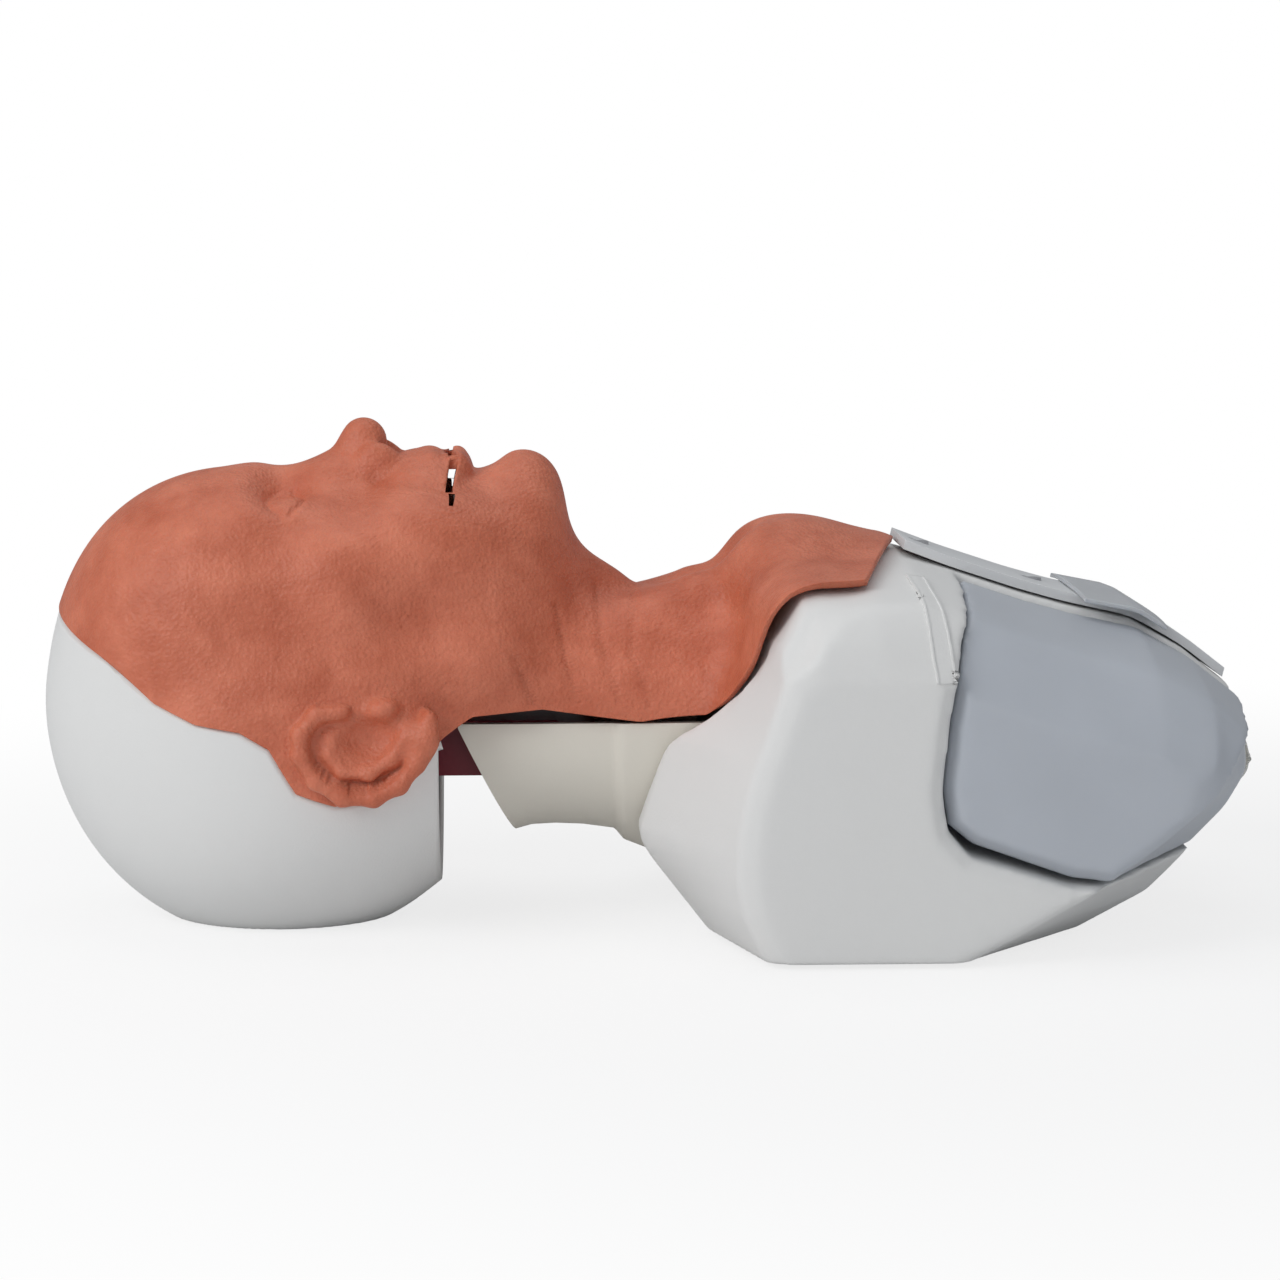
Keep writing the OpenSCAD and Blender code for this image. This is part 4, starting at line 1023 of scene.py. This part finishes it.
lung_silicone = milky_silicone("milky lung silicone", (0.60, 0.635, 0.69), 0.34, 0.12)
lung_stations = [34, 40, 48, 56, 64, 72, 80, 88, 96, 102, 107, 111, 114, 116, 117.5, 118.5, 119.5]
lung_seat = [drawn_in(LUNG_RIM, gap) for gap in (1.0, 1.0, 6.5)]
for side, name, slot in ((-1, "lung_right", "lung_clear"), (1, "lung_left", "lung_clear_left")):
    profile = [chest_outline(y + LUNG_IN) - (0, 0.6) for y in lung_stations]
    at = [side*y for y in lung_stations]
    lung = to_piece(body_between(at, profile), name + "_bag", lung_silicone)
    seat = body_between([side*LUNG_Y[0], side*(LUNG_Y[1] - 6), side*(LUNG_Y[1] + 0.2)], lung_seat)
    cut(lung, [seat], "INTERSECT")
    mould(lung, 1.6, 5)
    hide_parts(name)
    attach(lung, "chest")

# The small parts of the chest: steel screws in the cover, a rubber mat under the shell painted
# black as the shadow beneath it, and the clear films of the strap and the stomach bag.
cover_white = moulded_plastic("cover plastic", (0.74, 0.75, 0.76), 0.42)
dress("cover_screws", steel)
# the mat's black is painted shadow: it stands for the dark line of shade under the chest
shadow_black_mat = moulded_plastic("rubber mat painted black as shadow", (0.02, 0.02, 0.022), 0.8)
dress("base_mat", shadow_black_mat)
strap_film = milky_silicone("strap film", (0.72, 0.74, 0.77), 0.25, 0.3)
bag_film = milky_silicone("stomach bag film", (0.74, 0.73, 0.68), 0.2, 0.5)

# A plain raised band on the near shoulder: two thin rims with a flat strip between
# them, moulded in one with the chest. Nothing is printed on it.
BAND_PATH = np.array([(1, 66, 158.5), (2.5, 85, 156.5), (4, 100, 153), (5, 110, 147),
                      (6, 118, 138), (6.5, 122, 129), (7.5, 125, 118)], float)


def laid_band(name, x0, x1, lift):
    """A strip that follows the band's path and lies on the chest, a little proud of it."""
    def place(rows, across):
        k = rows*(len(BAND_PATH) - 1)
        x, w, z = (np.interp(k, np.arange(len(BAND_PATH)), BAND_PATH[:, i]) for i in range(3))
        return np.stack([x + x0 + (x1 - x0)*(across + 1)/2, -w, z], axis=1)

    strip = to_piece(laid_grid(90, 12, place), name, shell_white)
    lay = strip.modifiers.new("lay", "SHRINKWRAP")
    lay.target = chest
    lay.wrap_method = "NEAREST_SURFACEPOINT"
    lay.wrap_mode = "ABOVE_SURFACE"
    lay.offset = lift*0.001
    thick = strip.modifiers.new("thick", "SOLIDIFY")
    thick.thickness = 0.0016
    thick.offset = -1
    keep_modifiers(strip)
    strip.data.shade_smooth()
    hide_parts("chest_shell")
    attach(strip, "chest")


laid_band("shoulder_band", -4.4, 4.4, 0.5)
laid_band("shoulder_band_front_rim", -4.6, -3.7, 1.0)
laid_band("shoulder_band_rear_rim", 3.7, 4.6, 1.0)

# The breastbone cover: a curved plate of white plastic with soft edges and two sunk
# seats for the screws that hold it down on the ridge.
COVER_UNDER = np.array([
    (0, 161.6), (19, 154.4), (50, 144.2), (70, 138.6), (99, 132.2), (121, 119.8), (140, 105)], float)
COVER_T, COVER_HALF_W = 4, 26
SCREW_SEAT_R = 0.00455
cover_x = np.linspace(0, 140, 29)
cover_z = np.interp(cover_x, COVER_UNDER[:, 0], COVER_UNDER[:, 1])
cover_z[1:-1] = 0.25*cover_z[:-2] + 0.5*cover_z[1:-1] + 0.25*cover_z[2:]
under = np.stack([cover_x, cover_z], axis=1)
plate = np.concatenate([under, under[::-1] + (1, COVER_T)])
cover = to_piece(prism(plate, -COVER_HALF_W, COVER_HALF_W), "breastbone_cover", cover_white)
screw_seats = []
for x, z in ((10, 160), (60, 143.6)):
    seat = bmesh.new()
    bmesh.ops.create_cone(seat, cap_ends=True, segments=40, radius1=SCREW_SEAT_R,
                          radius2=SCREW_SEAT_R, depth=0.02)
    bmesh.ops.translate(seat, verts=seat.verts, vec=(x*0.001, 0, (z + 10)*0.001))
    screw_seats.append(seat)
cut(cover, screw_seats)
soften(cover, 1.1, 3, 50)
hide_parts("sternum_cover")
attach(cover, "chest")


# The strap across the ridge: a clear film, 2 mm thick, bent over the step and drawn
# down a little at both ends.
STRAP_T, STRAP_HALF_W = 2.0, 46


def strap_place(along, across):
    x = 76 + 36*along
    z = np.interp(x, [76, 97, 101, 112], [144, 139.9, 138.4, 131.5])
    return np.stack([x, STRAP_HALF_W*across, z - 1.6*np.abs(across)**3], axis=1)


strap = to_piece(laid_grid(36, 60, strap_place), "strap_band", strap_film)
thicken(strap, STRAP_T)
soften(strap, 0.5, 2, 50)
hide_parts("chest_strap")
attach(strap, "chest")


# The stomach bag and the tongue: soft parts of moulded rubber. The bag has a welded
# seam round its middle and shallow buckles; the tongue has its furrow and a fine grain.
def moulded_from(node, name, material, rise):
    """A soft piece on a CAD solid's surface, raised along its own normals."""
    bm = bmesh.new()
    bm.from_mesh(bpy.data.objects[node].data)
    bmesh.ops.transform(bm, matrix=bpy.data.objects[node].matrix_world, verts=bm.verts)
    bmesh.ops.remove_doubles(bm, verts=bm.verts, dist=0.00002)
    bm.normal_update()
    places = np.array([v.co for v in bm.verts])*1000
    for v, lift in zip(bm.verts, rise(places)*0.001):
        v.co += v.normal*lift
    return to_piece(bm, name, material)


def bag_rise(p):
    seam = 0.9*np.exp(-((p[:, 2] - 66)/1.1)**2)
    return seam + 0.45*np.sin(0.42*p[:, 0] + 0.3*p[:, 1])*np.sin(0.35*p[:, 2])


def tongue_rise(p):
    furrow = -1.1*np.exp(-(p[:, 1]/1.6)**2)
    return furrow + 0.12*np.sin(3.1*p[:, 0])*np.sin(2.7*p[:, 1])*np.sin(2.9*p[:, 2])


bag = moulded_from("stomach_bag", "stomach_bag_film", bag_film, bag_rise)
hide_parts("stomach_bag")
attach(bag, "chest")
tongue = moulded_from("tongue", "tongue_body", tongue_rubber, tongue_rise)
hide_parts("tongue")
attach(tongue, "jaw")
